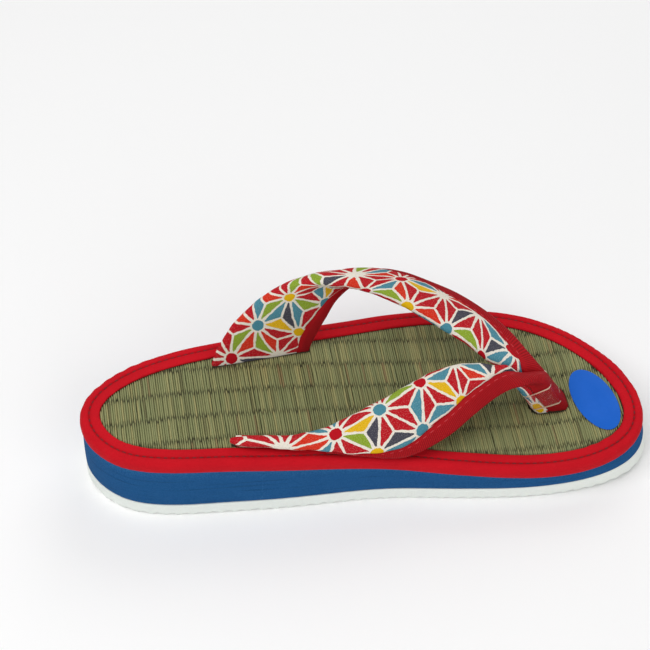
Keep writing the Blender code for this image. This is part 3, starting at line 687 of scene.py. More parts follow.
def rush_material(colours):
    """Each stem has its own tone, with streaks along it, and painted shade at its sides and at its ends by
    the warp lines.
    """
    material, s, place = new_material("rush mat")
    stem = s.split(s.attribute("stem", "Vector"))
    tone = s.node("ShaderNodeTexWhiteNoise", {"W": stem[0]}, noise_dimensions="1D").outputs["Value"]
    pair = s.node("ShaderNodeCombineXYZ", {"X": stem[0], "Y": stem[1], "Z": 3.0}).outputs[0]
    patch = s.node("ShaderNodeTexWhiteNoise", {"Vector": pair}).outputs["Value"]
    drift = s.noise(s.stretched(place, (42.0, 26.0, 1.0)), 1.0, 3.0, 0.6)
    streaks = s.noise(s.stretched(place, (5200.0, 90.0, 1.0)), 1.0)
    tones = ((0.0, colours.rush_dark, 1.0), (0.25, colours.rush_green, 1.0), (0.55, colours.rush_green, 1.0),
             (0.85, colours.rush_straw, 1.0), (1.0, colours.rush_straw, 1.0))
    base = s.ramp(s.plus(s.times(tone, 0.45), s.times(patch, 0.55)), tones)[0]
    base = s.stain(base, s.between(drift, 0.35, 0.7), 0.30, shade(colours.rush_straw))
    base = s.stain(base, s.math("GREATER_THAN", patch, 0.972), 0.55, shade(colours.rush_brown))
    base = s.stain(base, s.between(streaks, 0.5, 0.75), 0.42, shade(colours.rush_dark))
    # Painted shade from each stem's painted light value, in full on the base, which has no stem mark
    base = s.mix(s.between(stem[2], 0.62, 0.08), base, shade(colours.rush_dark, 0.22))
    s.surface(base, 0.62, 0.35, s.bump(streaks, 0.35, 0.0002))
    return material


def binding_material(colours):
    """Red cotton cloth, with painted shade in the sewn groove."""
    material, s, place = new_material("binding cloth")
    grain = s.placed("Cloth grain", {"Vector": place, "Threads": 9000.0, "Crinkle": 1300.0})
    wear = s.placed("Handling", {"Vector": place, "Broad": 60.0, "Fine": 2600.0})
    base = s.stain(shade(colours.binding), wear["Clouds"], 0.35, shade(colours.binding, 0.62))
    # Painted highlight on the crinkles' tops, with uneven yarn
    base = s.stain(base, grain["Mottle"], 0.30, shade(colours.binding, 1.25, 0.012))
    # Painted shade in the sewn groove, by each ring's level
    base = s.stain(base, s.attribute("level"), 0.45, shade(colours.binding, 0.40))
    s.surface(base, 0.85, 0.12, s.bump(grain["Height"], 0.45, 0.00018))
    return material


def thread_material(name, tint):
    material, s, place = new_material(name)
    twist = s.noise(place, 4200.0)
    s.surface(s.stain(shade(tint), twist, 0.6, shade(tint, 0.6)), 0.7, normal=s.bump(twist, 0.4, 0.0001))
    return material


def charted(s, colours, lattice):
    """The colours of the print's cells and dots, and 1 where there is a dot, looked up in PRINT_CHART."""
    tints = {"r": colours.red, "o": colours.orange, "t": colours.teal, "g": colours.green,
             "y": colours.mustard, "c": colours.charcoal, ".": colours.cream}
    cells, dots, dotted = shade(colours.red), shade(colours.red), 0.0

    def looked_up(value, letters, first):
        letters = letters.replace(" ", "")
        place = s.math("DIVIDE", s.plus(value, 0.5 - first), float(len(letters)))
        stops = [(step / len(letters), tints[letter], 0.0 if letter == "." else 1.0)
                 for step, letter in enumerate(letters)]
        return s.ramp(place, stops, "CONSTANT")

    for row, column, lower, upper, knots in PRINT_CHART:
        low, high = (looked_up(lattice["Cell"], letters, column * 3)[0] for letters in (lower, upper))
        here = s.math("COMPARE", lattice["Row"], float(row), 0.5)
        cells = s.mix(here, cells, s.mix(lattice["Upper"], low, high))
        knot, alpha = looked_up(lattice["Dot Column"], knots, column)
        at_knot = s.math("COMPARE", lattice["Dot Row"], float(row), 0.5)
        dots = s.mix(at_knot, dots, knot)
        dotted = s.plus(dotted, s.times(at_knot, alpha))
    return cells, dots, dotted


def print_material(colours, sizes):
    """Crepe cotton with cream lines, dots and cells in several colours, and painted highlight and shade on
    its crinkles.
    """
    material, s, _ = new_material("strap cloth")
    cloth = s.attribute("cloth", "Vector")
    wobble = s.noise(cloth, 0.55, output="Color")
    vector = "ShaderNodeVectorMath"
    moved = s.math("SUBTRACT", wobble, (0.5, 0.5, 0.5), kind=vector)
    drawn = s.math("ADD", cloth, s.math("MULTIPLY", moved, (0.9, 0.9, 0.9), kind=vector), kind=vector)
    lattice = s.placed("Hemp-leaf lattice", {"Vector": drawn, "Repeat": sizes.print_repeat * 1000.0})
    cells, dots, dotted = charted(s, colours, lattice)
    grain = s.placed("Cloth grain", {"Vector": cloth, "Threads": 7.5, "Crinkle": 1.9})
    mottle = grain["Mottle"]
    ragged = s.times(s.minus(mottle, 0.5), 0.35)
    dot_radius = sizes.print_dot * 1000.0
    near_dot = s.between(lattice["Dot"], dot_radius * 3.2, dot_radius)
    half_line = s.plus(s.times(near_dot, 0.22), sizes.print_line * 500.0)
    line = s.math("LESS_THAN", s.plus(lattice["Line"], ragged), half_line)
    ragged_dot = s.plus(lattice["Dot"], ragged)
    dot = s.math("LESS_THAN", ragged_dot, s.times(dotted, dot_radius))
    collar = s.math("LESS_THAN", ragged_dot, s.plus(s.times(dotted, dot_radius - 0.3), 1.2))
    cream = shade(colours.cream)
    # Painted highlight on the crinkles' tops, with uneven yarn
    base = s.stain(cells, s.between(mottle, 0.52, 0.72), 0.12, cream)
    for mask, tint in ((line, cream), (collar, cream), (dot, dots)):
        base = s.mix(mask, base, tint)
    # Painted shade in the crinkles' hollows, where the mottle is low
    base = s.stain(base, s.between(mottle, 0.48, 0.25), 0.28, (0.02, 0.01, 0.01, 1.0))
    s.surface(base, 0.86, 0.15, s.bump(grain["Height"], 0.55, 0.00028))
    return material


def tape_material(colours):
    """Ribbed tape: ribs across its width, flatter along the sewn inner part, with painted shade between the
    ribs.
    """
    material, s, place = new_material("edging tape")
    cloth = s.split(s.attribute("cloth", "Vector"))
    strength = s.between(cloth[1], 0.22, 0.40)
    ribbed = s.times(s.math("SINE", s.times(cloth[0], 9.2)), s.plus(s.times(strength, 0.8), 0.2))
    wear = s.placed("Handling", {"Vector": place, "Broad": 70.0, "Fine": 2800.0})
    dark = shade(colours.tape, 0.45)
    # Painted shade between the ribs; the same dark tint gives random clouds on the next line
    base = s.stain(shade(colours.tape), s.between(ribbed, 0.3, -0.8), 0.75, dark)
    base = s.stain(base, wear["Clouds"], 0.25, dark)
    fine = s.bump(wear["Specks"], 0.3, 0.0001)
    s.surface(base, 0.72, 0.18, s.bump(ribbed, 0.6, 0.00022, fine))
    return material


def vinyl_material(colours):
    """Clear film, milky at its two rims."""
    material, s, place = new_material("clear vinyl")
    rim = s.between(s.attribute("level"), 0.90, 0.94)
    haze = s.noise(place, 300.0)
    s.surface(s.mix(rim, (0.75, 0.35, 0.34, 1.0), shade(colours.vinyl)), 0.12,
              alpha=s.plus(s.times(rim, 0.75), s.times(haze, 0.12)), coat=0.4)
    return material


def sticker_material(colours):
    """Blue film with a dull shine."""
    material, s, place = new_material("sticker blue")
    wear = s.placed("Handling", {"Vector": place, "Broad": 120.0, "Fine": 3000.0})
    base = s.stain(shade(colours.sticker), wear["Clouds"], 0.2, shade(colours.sticker, 1.3, 0.02))
    roughness = s.plus(s.times(wear["Specks"], 0.10), 0.50)
    s.surface(base, roughness, 0.22, s.bump(s.noise(place, 240.0, 1.0), 0.15, 0.0003))
    return material


def floor_material(colours):
    material, s, place = new_material("floor")
    s.surface(s.mix(s.noise(place, 2.0), shade(colours.floor), shade(colours.floor, 0.985)), 0.9)
    return material


# The sole


def set_levels(layer, levels, values):
    for level, value in zip(levels, values):
        for vert in level:
            vert[layer] = value


def make_outsole(sole, sizes, colours):
    """The rubber sheet, with ripples underneath and a slightly ragged edge."""
    tread = sole.moved(RUBBER_INSET, 1.0)
    start, end = tread[:, 0].min(), tread[:, 0].max()
    reach = end - start
    pitch, crest = sizes.ripple_pitch, sizes.ripple_crest
    steps = [0.0, crest * 0.5] + [crest + (pitch - crest) * share for share in (0, 0.12, 0.3, 0.5, 0.7, 0.88)]
    places = [wave * pitch + step for wave in range(int(reach / pitch) + 1) for step in steps]
    shares = {place / reach for place in places if crest < place < reach - crest}
    ends = [share for share in sole.stations(150) if share * reach < crest or (1.0 - share) * reach < pitch]
    shares = sorted(shares | set(ends))

    def ripple(x):
        place = (x - start) % pitch
        if place < crest:
            return 0.0
        return sizes.ripple_depth * math.sin(math.pi * (place - crest) / (pitch - crest)) ** 0.8

    def ragged(x):
        return 0.00016 * math.sin(x * 2100.0) + 0.00012 * math.sin(x * 4700.0 + 1.0)

    def level_at(share):
        return lambda x: (sole.bottom(x) + (ripple(x) + max(ragged(x), 0.0) * 0.5) * (1.0 - share) ** 2
                          + sizes.outsole * share)

    rings = [sole.ring(0.0014, lambda x: sole.bottom(x) + ripple(x), 1.0, shares),
             sole.ring(0.0009, lambda x: level_at(0.0)(x) + 0.0002 + max(ragged(x), 0.0), 1.0, shares)]
    for share in RUBBER_RINGS:
        rings.append(sole.ring(RUBBER_INSET, level_at(share), 1.0 - 0.4 * share, shares))
    rings.append(sole.ring(0.0009, level_at(0.99), 0.6, shares))
    rings.append(sole.ring(0.0013, level_at(1.0), 0.6, shares))
    mesh = bmesh.new()
    levels = skin(mesh, rings)
    cap_sole(mesh, levels[0])
    cap_sole(mesh, levels[-1])
    finish_piece("rubber_outsole", mesh, rubber_material(colours), ["outsole"], 50.0)


def make_foam(sole, sizes, colours):
    """The wedge between the rubber and the binding."""
    def height(share):
        def at(x):
            low = sole.bottom(x) + sizes.outsole + GAP * 0.5
            high = sole.top(x) - sizes.binding_drop - GAP * 0.5
            return low + (high - low) * share
        return at

    rings = [sole.ring(inset, height(share), flare) for share, inset, flare in FOAM_PROFILE]
    mesh = bmesh.new()
    layer = mesh.verts.layers.float.new("level")
    levels = skin(mesh, rings)
    set_levels(layer, levels, [row[0] for row in FOAM_PROFILE])
    cap_sole(mesh, levels[0])
    cap_sole(mesh, levels[-1])
    finish_piece("foam_wedge", mesh, foam_material(colours), ["midsole"], 50.0)


# The rush mat


def blocked_stretches(sole, sizes, x):
    """Where the straps go down through the mat at x: low and high across."""
    stretches = []
    along = x / sizes.length
    if INNER_SLOT[0] < along < INNER_SLOT[1]:
        middle = INNER_SLOT_ACROSS * sole.width(along)
        stretches.append((middle + INNER_SLOT_SIDES[0], middle + INNER_SLOT_SIDES[1]))
    rear, front = OUTER_STRAP[0][:2], OUTER_STRAP[0][3:5]
    if rear[0] + 0.002 < along < front[0] - 0.003:
        share = (along - rear[0]) / (front[0] - rear[0])
        first, last = rear[1] * sole.width(rear[0]), front[1] * sole.width(front[0])
        middle = first + (last - first) * share
        stretches.append((middle - OUTER_SLOT_HALF, middle + OUTER_SLOT_HALF))
    share = (along - POST_HOLE_ALONG) / POST_HOLE_REACH
    if abs(share) < 1.0:
        half = POST_HOLE_HALF * (1.0 - abs(share) ** 4) ** 0.25
        middle = POST_ACROSS * sole.width(POST_HOLE_ALONG)
        stretches.append((middle - half, middle + half))
    return stretches


def free_stretches(low, high, blocked):
    """What is left from low to high beside the blocked stretches."""
    found = [(low, high)]
    for start, end in blocked:
        pieces = [piece for first, last in found
                  for piece in ((first, min(last, start)), (max(first, end), last))]
        found = [piece for piece in pieces if piece[1] - piece[0] > SHORTEST_STEM]
    return found


def make_mat(sole, sizes, colours):
    """A base painted dark as shade, with raised rush stems that dip at each warp line and are shaded by their
    painted light.
    """
    mesh = bmesh.new()
    layer = mesh.verts.layers.float_vector.new("stem")
    low = sizes.mat_edge
    # The base gets no stem mark, so the rush material paints it as a dark sheet of shade under the stems and
    # in the slots
    rings = [sole.ring(MAT_INSET, lambda x: sole.top(x) - sizes.binding_drop),
             sole.ring(MAT_INSET, lambda x: sole.top(x) - low)]
    levels = skin(mesh, rings)
    cap_sole(mesh, levels[0])
    cap_sole(mesh, levels[1])
    bmesh.ops.recalc_face_normals(mesh, faces=mesh.faces)
    random = np.random.default_rng(7)
    places, near, far = sole.sides(sizes.binding_width + 0.0002)
    pitch, warp = sizes.stem_pitch, sizes.warp_pitch
    count = int((places[-1] - places[0]) / pitch)
    for stem in range(count):
        x = places[0] + (stem + 0.5) * pitch
        bottom, top = np.interp(x, places, near), np.interp(x, places, far)
        stagger = STEM_STAGGER * (1 if stem % 2 else -1) + random.normal(0.0, 0.00025)
        height = STEM_HEIGHT + random.normal(0.0, 0.00008)
        wander = random.normal(0.0, 0.00011, 12)
        girth = random.normal(1.0, 0.10)
        for first, last in free_stretches(bottom, top, blocked_stretches(sole, sizes, x)):
            steps = max(int((last - first) / (warp / 9.0)), 3)
            made = bmesh.ops.create_grid(mesh, x_segments=4, y_segments=steps, size=1.0)
            for vert in made["verts"]:
                across = vert.co.x
                y = first + (last - first) * (vert.co.y + 1.0) / 2.0
                turns = (y + stagger - sizes.warp_start) / warp
                bump = int(math.floor(turns))
                arch = math.sin(math.pi * (turns - bump)) ** 0.34 if 0.0 < turns - bump < 1.0 else 0.0
                end = min(1.0, (min(y - first, last - y) / 0.0012) ** 0.5) if last > y > first else 0.0
                full = min(arch, 0.25 + 0.75 * end)
                bend = wander[(bump + 6) % 12] * math.sin(math.pi * (turns - bump))
                wide = pitch * girth * (0.40 + 0.18 * full)
                lift = height * (0.30 + 0.70 * full) * math.sqrt(max(1.0 - across * across, 0.0))
                # Painted light: full along the stem's middle, falling off to its sides and where it dips at
                # the warp lines
                light = full * math.sqrt(max(1.0 - 0.8 * across * across, 0.0))
                vert.co = in_place(Vector((x + bend + across * wide, y, sole.top(x) - low - 0.00005 + lift)))
                vert[layer] = (stem, bump + 40.0 * (first > 0.0), light)
    finish_piece("rush_mat", mesh, rush_material(colours), ["insole_mat"], 75.0, False)


# The binding


def pucker(x, y):
    """Small pleats where the binding turns round the heel and the toe."""
    turn = math.exp(-((x - 0.012) / 0.020) ** 2) + math.exp(-((x - 0.232) / 0.022) ** 2)
    wave = math.sin(x * 760.0 + y * 690.0) + 0.6 * math.sin(x * 1330.0 - y * 1180.0 + 1.3)
    slow = math.sin(x * 190.0 + y * 150.0) + 0.6 * math.sin(x * 93.0 - y * 240.0 + 0.7)
    return 0.00024 * turn * wave + 0.00011 * slow


def make_binding(sole, sizes, colours):
    """The red band round the mat, with its groove, its rolled side and the stitches in the groove."""
    width, drop, groove = sizes.binding_width, sizes.binding_drop, sizes.binding_groove
    profile = (
        # inset, drop from the top, how much it puckers, how far into the groove, which sets its painted shade
        (width, 0.00125, 0.0, 0.0), (width + 0.00015, 0.00075, 0.6, 0.0),
        (width + 0.00005, 0.00030, 1.0, 0.0),
        (width - 0.00035, 0.00004, 1.3, 0.0), (width - 0.00090, -0.00006, 1.2, 0.0),
        (width * 0.5 + groove * 0.5, 0.00002, 0.8, 0.0), (groove + 0.00085, 0.00008, 0.5, 0.1),
        (groove + 0.00038, 0.00026, 0.3, 0.5), (groove, 0.00062, 0.2, 1.0),
        (groove - 0.00038, 0.00030, 0.3, 0.5),
        (groove - 0.00085, 0.00002, 0.5, 0.1), (groove * 0.62, -0.00008, 0.8, 0.0),
        (groove * 0.40, 0.00010, 1.0, 0.0), (groove * 0.20, 0.00062, 1.0, 0.0),
        (groove * 0.07, 0.00145, 1.0, 0.0),
        (-0.00005, 0.00250, 1.0, 0.0), (-0.00015, 0.00380, 1.0, 0.0), (-0.00005, 0.00500, 0.8, 0.0),
        (0.00010, drop - 0.0004, 0.5, 0.0), (0.00035, drop - 0.00005, 0.2, 0.0), (0.0010, drop, 0.0, 0.0),
        (0.0012, 0.0030, 0.0, 0.0), (0.0016, 0.00145, 0.0, 0.0),
    )
    shares = sole.stations(330)
    rings = []
    for inset, fall, puckers, _ in profile:
        level = sole.ring(inset, lambda x, down=fall: sole.top(x) - down, 0.0, shares)
        rings.append([point + Vector((0.0, 0.0, pucker(point.x, point.y) * puckers)) for point in level])
    mesh = bmesh.new()
    layer = mesh.verts.layers.float.new("level")
    levels = skin(mesh, rings, closed=True)
    # The levels tell the binding material how much painted shade to lay on each ring
    set_levels(layer, levels, [row[3] for row in profile])
    finish_piece("cloth_binding", mesh, binding_material(colours), ["binding"], 60.0)
    seam = sole.ring(groove, lambda x: sole.top(x) - 0.00052, 0.0, shares)
    path = [(point, Vector((0.0, 0.0, 1.0))) for point in seam + seam[:1]]
    mesh = bmesh.new()
    add_stitches(mesh, path, sizes.stitch, sizes.stitch * 0.62, 0.00034, 0.00010)
    thread = thread_material("binding thread", colours.thread)
    finish_piece("binding_stitches", mesh, thread, None)


# The straps and their edging


def strap_rows(sole, sizes, table, arch, side, anchored):
    """Each row of a strap as its inner and edge point, padding, tape and wrap, down to the post's foot."""
    rows = []
    for inner_along, inner_across, inner_lift, edge_along, edge_across, edge_lift, pad, tape, wrap in table:
        half_pad = UNDER_CROWN * pad * sizes.padding / 2.0
        half_edge = (half_pad + sizes.tape_thickness / 2.0) / 2.0
        ends = []
        for along, across, lift, half in ((inner_along, inner_across, inner_lift, half_pad),
                                          (edge_along, edge_across, edge_lift, half_edge)):
            x = along * sizes.length
            ends.append(Vector((x, across * sole.width(along), sole.top(x) + GAP + half + lift * arch)))
        rows.append([*ends, pad * sizes.padding, tape * sizes.tape_width, wrap])
    if anchored:
        inner, edge, pad, tape, wrap = rows[0]
        low = [Vector((end.x, end.y, sole.top(end.x) - sizes.binding_drop + ANCHOR_GAP))
               for end in (inner, edge)]
        rows[0][0] = Vector((inner.x, inner.y, sole.top(inner.x) - GAP))
        rows[0][1] = Vector((edge.x, edge.y, sole.top(edge.x) - GAP))
        rows.insert(0, [*low, pad, tape, wrap])
    padding = POST_PADDING * sizes.padding
    for rear_along, rear_rise, front_along, front_rise, spread, wrap in POST:
        ends = []
        for along, rise in ((rear_along, rear_rise), (front_along, front_rise)):
            x = along * sizes.length
            across = POST_ACROSS * sole.width(along) + side * spread * padding / 2.0
            ends.append(Vector((x, across, sole.top(x) + rise * sizes.post_height)))
        rows.append([*ends, padding, POST_TAPE * sizes.tape_width, wrap])
    depth = GAP + sizes.binding_drop - ANCHOR_GAP
    down = Vector((POST_LEAN * depth, 0.0, -depth))
    rows.append([rows[-1][0] + down, rows[-1][1] + down, padding, POST_TAPE * sizes.tape_width, 1.0])
    return rows


def fine_rows(rows):
    """Smooth rows between the ones given."""
    fine = []
    last = len(rows) - 1
    for index in range(last):
        picks = [rows[max(index - 1, 0)], rows[index], rows[index + 1], rows[min(index + 2, last)]]
        for step in range(ROW_STEPS):
            share = step / ROW_STEPS
            fine.append([catmull(*[pick[column] for pick in picks], share) for column in range(5)])
    fine.append(rows[-1])
    return fine


def strap_frames(rows, side):
    """For each row its corner, the way across, the way up, its width and the length so far."""
    middles = [(row[0] + row[1]) / 2.0 for row in rows]
    frames = []
    travelled = 0.0
    for index, row in enumerate(rows):
        if index:
            travelled += (row[0] - rows[index - 1][0]).length
        ahead = middles[min(index + 1, len(rows) - 1)] - middles[max(index - 1, 0)]
        chord = (row[1] - row[0]).normalized()
        upper = chord.cross(ahead).normalized() * -side
        frames.append((row[0], chord, upper, (row[1] - row[0]).length, travelled))
    return frames


def edging_half(row, sizes):
    """Half of the tape's thickness, which grows where it wraps the post."""
    wrapped = (WRAPPED_TAPE * row[2] - sizes.tape_thickness) * min(max(row[4], 0.0), 1.0)
    return (sizes.tape_thickness + wrapped) / 2.0


def pad_ring(frame_at, row, sizes):
    """A padded section, with each point's place on the cloth in millimetres."""
    corner, chord, upper, reach, travelled = frame_at
    padding, tape = row[2], max(row[3], 0.0)
    width = reach - tape - TAPE_GAP * 0.45
    blunt = min(edging_half(row, sizes), padding / 2.0)
    half = padding / 2.0
    over, under = [], []
    for step in range(PAD_STEPS + 1):
        share = 0.5 - 0.5 * math.cos(math.pi * step / PAD_STEPS)
        bow = abs(2.0 * share - 1.0)
        rounded = half * (1.0 - bow ** 2.3) ** (1.0 / 2.3)
        height = rounded if share <= 0.5 else blunt + (half - blunt) * math.sqrt(max(1.0 - bow * bow, 0.0))
        place = corner + chord * (share * width)
        over.append(place + upper * (height * OVER_CROWN))
        under.append(place - upper * (height * UNDER_CROWN))
    ring = over[::-1] + under[1:]
    spread, total = [0.0], 0.0
    for first, second in zip(ring, ring[1:]):
        total += (second - first).length
        spread.append(total)
    marks = [(travelled * 1000.0, (spread[PAD_STEPS] - value) * 1000.0, 0.0) for value in spread]
    return ring, marks


def crease_depth(side, along, across):
    """How far the listed creases sink the cloth here, in metres."""
    depth = 0.0
    for crease_side, start_along, start_across, end_along, end_across, deep, wide in CREASES:
        if crease_side == side:
            start = Vector((start_along, start_across))
            run = Vector((end_along, end_across)) - start
            here = Vector((along, across)) - start
            share = min(max(here.dot(run) / run.length_squared, 0.0), 1.0)
            gap = (here - run * share).length / wide
            depth += deep * (math.exp(-gap * gap) - 0.35 * math.exp(-(gap - 2.0) ** 2)) * 0.001
    return depth


def soften(ring, marks, side):
    """Slight unevenness of the wadding under the cloth, and the creases."""
    middle = sum(ring, Vector()) / len(ring)
    moved = []
    for point, (along, across, _) in zip(ring, marks):
        seed = 1.7 + side
        wave = math.sin(along * 0.42 + across * 0.31 + seed)
        wave += 0.7 * math.sin(along * 0.83 - across * 0.55 + 2.0 * seed)
        out = (point - middle).normalized()
        moved.append(point + out * (0.00012 * wave - crease_depth(side, along, across)))
    return moved


def tape_ring(frame_at, row, sizes):
    """A flat tape with a thicker folded edge; the marks run along and across it."""
    corner, chord, upper, reach, travelled = frame_at
    tape = row[3]
    half = edging_half(row, sizes)
    start = reach - tape - TAPE_GAP * 0.6
    wide = tape + TAPE_GAP * 0.6
    ring = [corner + chord * (start + along * wide) + upper * (half * rise) for along, rise in TAPE_OUTLINE]
    marks = [(travelled * 1000.0, along, 0.0) for along, _ in TAPE_OUTLINE]
    return ring, marks


def wrap_front(ring, marks, frame_at, row, sizes):
    """Draw the inner strap's tape over the front of the post, across the outer strap's tape."""
    _, chord, upper, _, _ = frame_at
    share = smooth_share((row[4] - 0.25) / 0.6)
    reach = 1.9 * edging_half(row, sizes) * share
    middle = sum(ring, Vector()) / len(ring)
    moved = []
    for point in ring:
        over = (point - middle).dot(upper) > 0.0
        moved.append(point + chord * (0.0005 * share) + upper * (reach if over else 0.0))
    return moved, marks


def close_ends(mesh, levels):
    for level in (levels[0], levels[-1]):
        bmesh.ops.contextual_create(mesh, geom=level)


def strap_parts(sole, sizes, side):
    table, arch = (INNER_STRAP, sizes.inner_arch) if side < 0 else (OUTER_STRAP, sizes.outer_arch)
    rows = fine_rows(strap_rows(sole, sizes, table, arch, side, side > 0))
    return rows, strap_frames(rows, side)


def print_warp(anchors, repeat):
    """A thin-plate warp from millimetres on the cloth to the lattice, close to the measured dots."""
    cloth = np.array([row[:2] for row in anchors], float)
    columns, rows = np.array([row[2:] for row in anchors], float).T
    lattice = np.column_stack([columns + rows * 0.5, rows * math.sqrt(0.75)]) * repeat

    def pull(gaps):
        squares = (gaps ** 2).sum(axis=-1)
        return squares * np.log(squares + 1e-9)

    count = len(cloth)
    flat = np.column_stack([np.ones(count), cloth])
    matrix = np.zeros((count + 3, count + 3))
    matrix[:count, :count] = pull(cloth[:, None] - cloth[None]) + WARP_SOFTNESS * np.eye(count)
    matrix[:count, count:] = flat
    matrix[count:, :count] = flat.T
    weights = np.linalg.solve(matrix, np.vstack([lattice, np.zeros((3, 2))]))

    def warp(along, across):
        place = np.concatenate([pull(np.array([along, across]) - cloth), (1.0, along, across)]) @ weights
        return place[0], place[1], 0.0
    return warp


def make_tongue(sole, sizes):
    """The rings of the inner strap's part in its slot, and each point's place in the print."""
    warp = print_warp(INNER_DOTS, sizes.print_repeat * 1000.0)
    start = INNER_STRAP[0][0] * sizes.length
    rings = []
    for along in TONGUE_PLACES:
        x = along * sizes.length
        y = INNER_SLOT_ACROSS * sole.width(along) - TONGUE_ASIDE
        low = sole.top(x) - sizes.binding_drop + ANCHOR_GAP
        high = sole.top(x) + GAP + 0.45 * sizes.padding
        rings.append([Vector((x, y + TONGUE_HALF * aside, low + (high - low) * max(rise, 0.0)))
                      for aside, rise in TONGUE_SECTION])
    marks = [[warp((point.x - start) * 1000.0, 8.0 + (high - point.z) * 1000.0) for point in ring]
             for ring in rings]
    return rings, marks


def make_straps(sole, sizes, colours):
    """Both padded straps and the tongue, as one printed piece."""
    mesh = bmesh.new()
    layer = mesh.verts.layers.float_vector.new("cloth")
    for side, anchors in ((-1, INNER_DOTS), (1, OUTER_DOTS)):
        rows, frames = strap_parts(sole, sizes, side)
        warp = print_warp(anchors, sizes.print_repeat * 1000.0)
        rings, marks = [], []
        for row, frame_at in zip(rows, frames):
            ring, mark = pad_ring(frame_at, row, sizes)
            rings.append(soften(ring, mark, side))
            marks.append([warp(along, across) for along, across, _ in mark])
        close_ends(mesh, skin(mesh, rings, marks, layer))
    tongue, tongue_marks = make_tongue(sole, sizes)
    close_ends(mesh, skin(mesh, tongue, tongue_marks, layer))
    finish = print_material(colours, sizes)
    piece = finish_piece("printed_straps", mesh, finish, ["straps"], 60.0)


def make_edging(sole, sizes, colours):
    """The red tape along the outer edge of each strap, with its stitches."""
    material = tape_material(colours)
    thread = thread_material("edging thread", colours.tape_thread)
    for side, name in ((-1, "inner"), (1, "outer")):
        rows, frames = strap_parts(sole, sizes, side)
        skipped = FIRST_TAPED_ROW * ROW_STEPS if side < 0 else 0
        pairs = [tape_ring(frame_at, row, sizes) for row, frame_at in zip(rows[skipped:], frames[skipped:])]
        if side < 0:
            pairs = [wrap_front(*pair, frame_at, row, sizes)
                     for pair, row, frame_at in zip(pairs, rows[skipped:], frames[skipped:])]
        mesh = bmesh.new()
        layer = mesh.verts.layers.float_vector.new("cloth")
        levels = skin(mesh, [ring for ring, _ in pairs], [mark for _, mark in pairs], layer)
        close_ends(mesh, levels)
        finish_piece("tape_" + name, mesh, material, ["edging_" + name + "_side"], 60.0)
        path = []
        for row, (corner, chord, upper, reach, _) in list(zip(rows, frames))[skipped + 6:-4 * ROW_STEPS]:
            half = edging_half(row, sizes)
            path.append((corner + chord * (reach - row[3] * 0.80) + upper * (half * 0.97), upper))
        mesh = bmesh.new()
        add_stitches(mesh, path, *TAPE_STITCH, 0.0)
        finish_piece("tape_stitches_" + name, mesh, thread, None)


# The band and the sticker


def tight_ring(points, chord, grow):
    """A film drawn tight round a section's points, in the plane of the chord and the Y axis."""
    middle = sum(points, Vector()) / len(points)
    flat = np.array([((point - middle).dot(chord), point.y - middle.y) for point in points])
    angles = np.arange(BAND_STEPS) * 2.0 * math.pi / BAND_STEPS
    ways = np.column_stack([np.cos(angles), np.sin(angles)])
    support = (flat @ ways.T).max(axis=0) + grow
    turn = np.cos(angles[:, None] - angles[None, :])
    reach = np.where(turn > 0.05, support[None, :] / np.maximum(turn, 0.05), 1.0).min(axis=1)
    return [middle + chord * (far * way[0]) + Vector((0.0, far * way[1], 0.0))
            for far, way in zip(reach, ways)]


def lowered_rear(ring):
    """The band sits lower on the rear of the leaning post than on its front."""
    front, rear = max(point.x for point in ring), min(point.x for point in ring)
    drops = [BAND_DROP * (front - point.x) / (front - rear) for point in ring]
    return [point + Vector((POST_LEAN * drop, 0.0, -drop)) for point, drop in zip(ring, drops)]


def make_band(sole, sizes, colours):
    """The clear film drawn round both straps where they go down as the post."""
    sections = []
    for side in (-1, 1):
        rows, frames = strap_parts(sole, sizes, side)
        sections.append([pad_ring(at, row, sizes)[0] + tape_ring(at, row, sizes)[0]
                         for at, row in zip(frames, rows)])
    chord_rows = strap_parts(sole, sizes, 1)[0]
    first, last = -3 * ROW_STEPS + ROW_STEPS // 3, -2 * ROW_STEPS + ROW_STEPS // 3 + 1
    inner, outer = [], []
    for index in range(first, last + 1):
        points = sections[0][index] + sections[1][index]
        chord = chord_rows[index][1] - chord_rows[index][0]
        chord = Vector((chord.x, 0.0, chord.z)).normalized()
        for rings, grow in zip((inner, outer), BAND_WALL):
            rings.append(lowered_rear(tight_ring(points, chord, grow)))
    mesh = bmesh.new()
    layer = mesh.verts.layers.float.new("level")
    levels = skin(mesh, inner + outer[::-1], closed=True)
    count = len(inner)
    for place, level in enumerate(levels):
        step = place if place < count else 2 * count - 1 - place
        for vert in level:
            vert[layer] = abs(2.0 * step / (count - 1) - 1.0)
    finish_piece("clear_band", mesh, vinyl_material(colours), ["post_band"], 50.0)


def make_sticker(sole, sizes, colours):
    """The oval label, bent with the mat."""
    along, across = STICKER_PLACE
    centre = Vector((along * sizes.length, across * sole.width(along), 0.0))
    half_length, half_width = STICKER_HALVES
    cosine, sine = math.cos(STICKER_TURN), math.sin(STICKER_TURN)
    rings = []
    for reach, lift in STICKER_RINGS:
        ring = []
        for step in range(STICKER_STEPS):
            angle = 2.0 * math.pi * step / STICKER_STEPS
            long_side = half_length * max(reach, 0.001) * math.sin(angle)
            short_side = half_width * max(reach, 0.001) * math.cos(angle)
            x = centre.x + short_side * cosine - long_side * sine
            y = centre.y + short_side * sine + long_side * cosine
            ring.append(Vector((x, y, sole.top(x) - 0.0003 + lift)))
        rings.append(ring)
    mesh = bmesh.new()
    close_ends(mesh, skin(mesh, rings))
    finish_piece("oval_sticker", mesh, sticker_material(colours), ["toe_sticker"], 60.0)


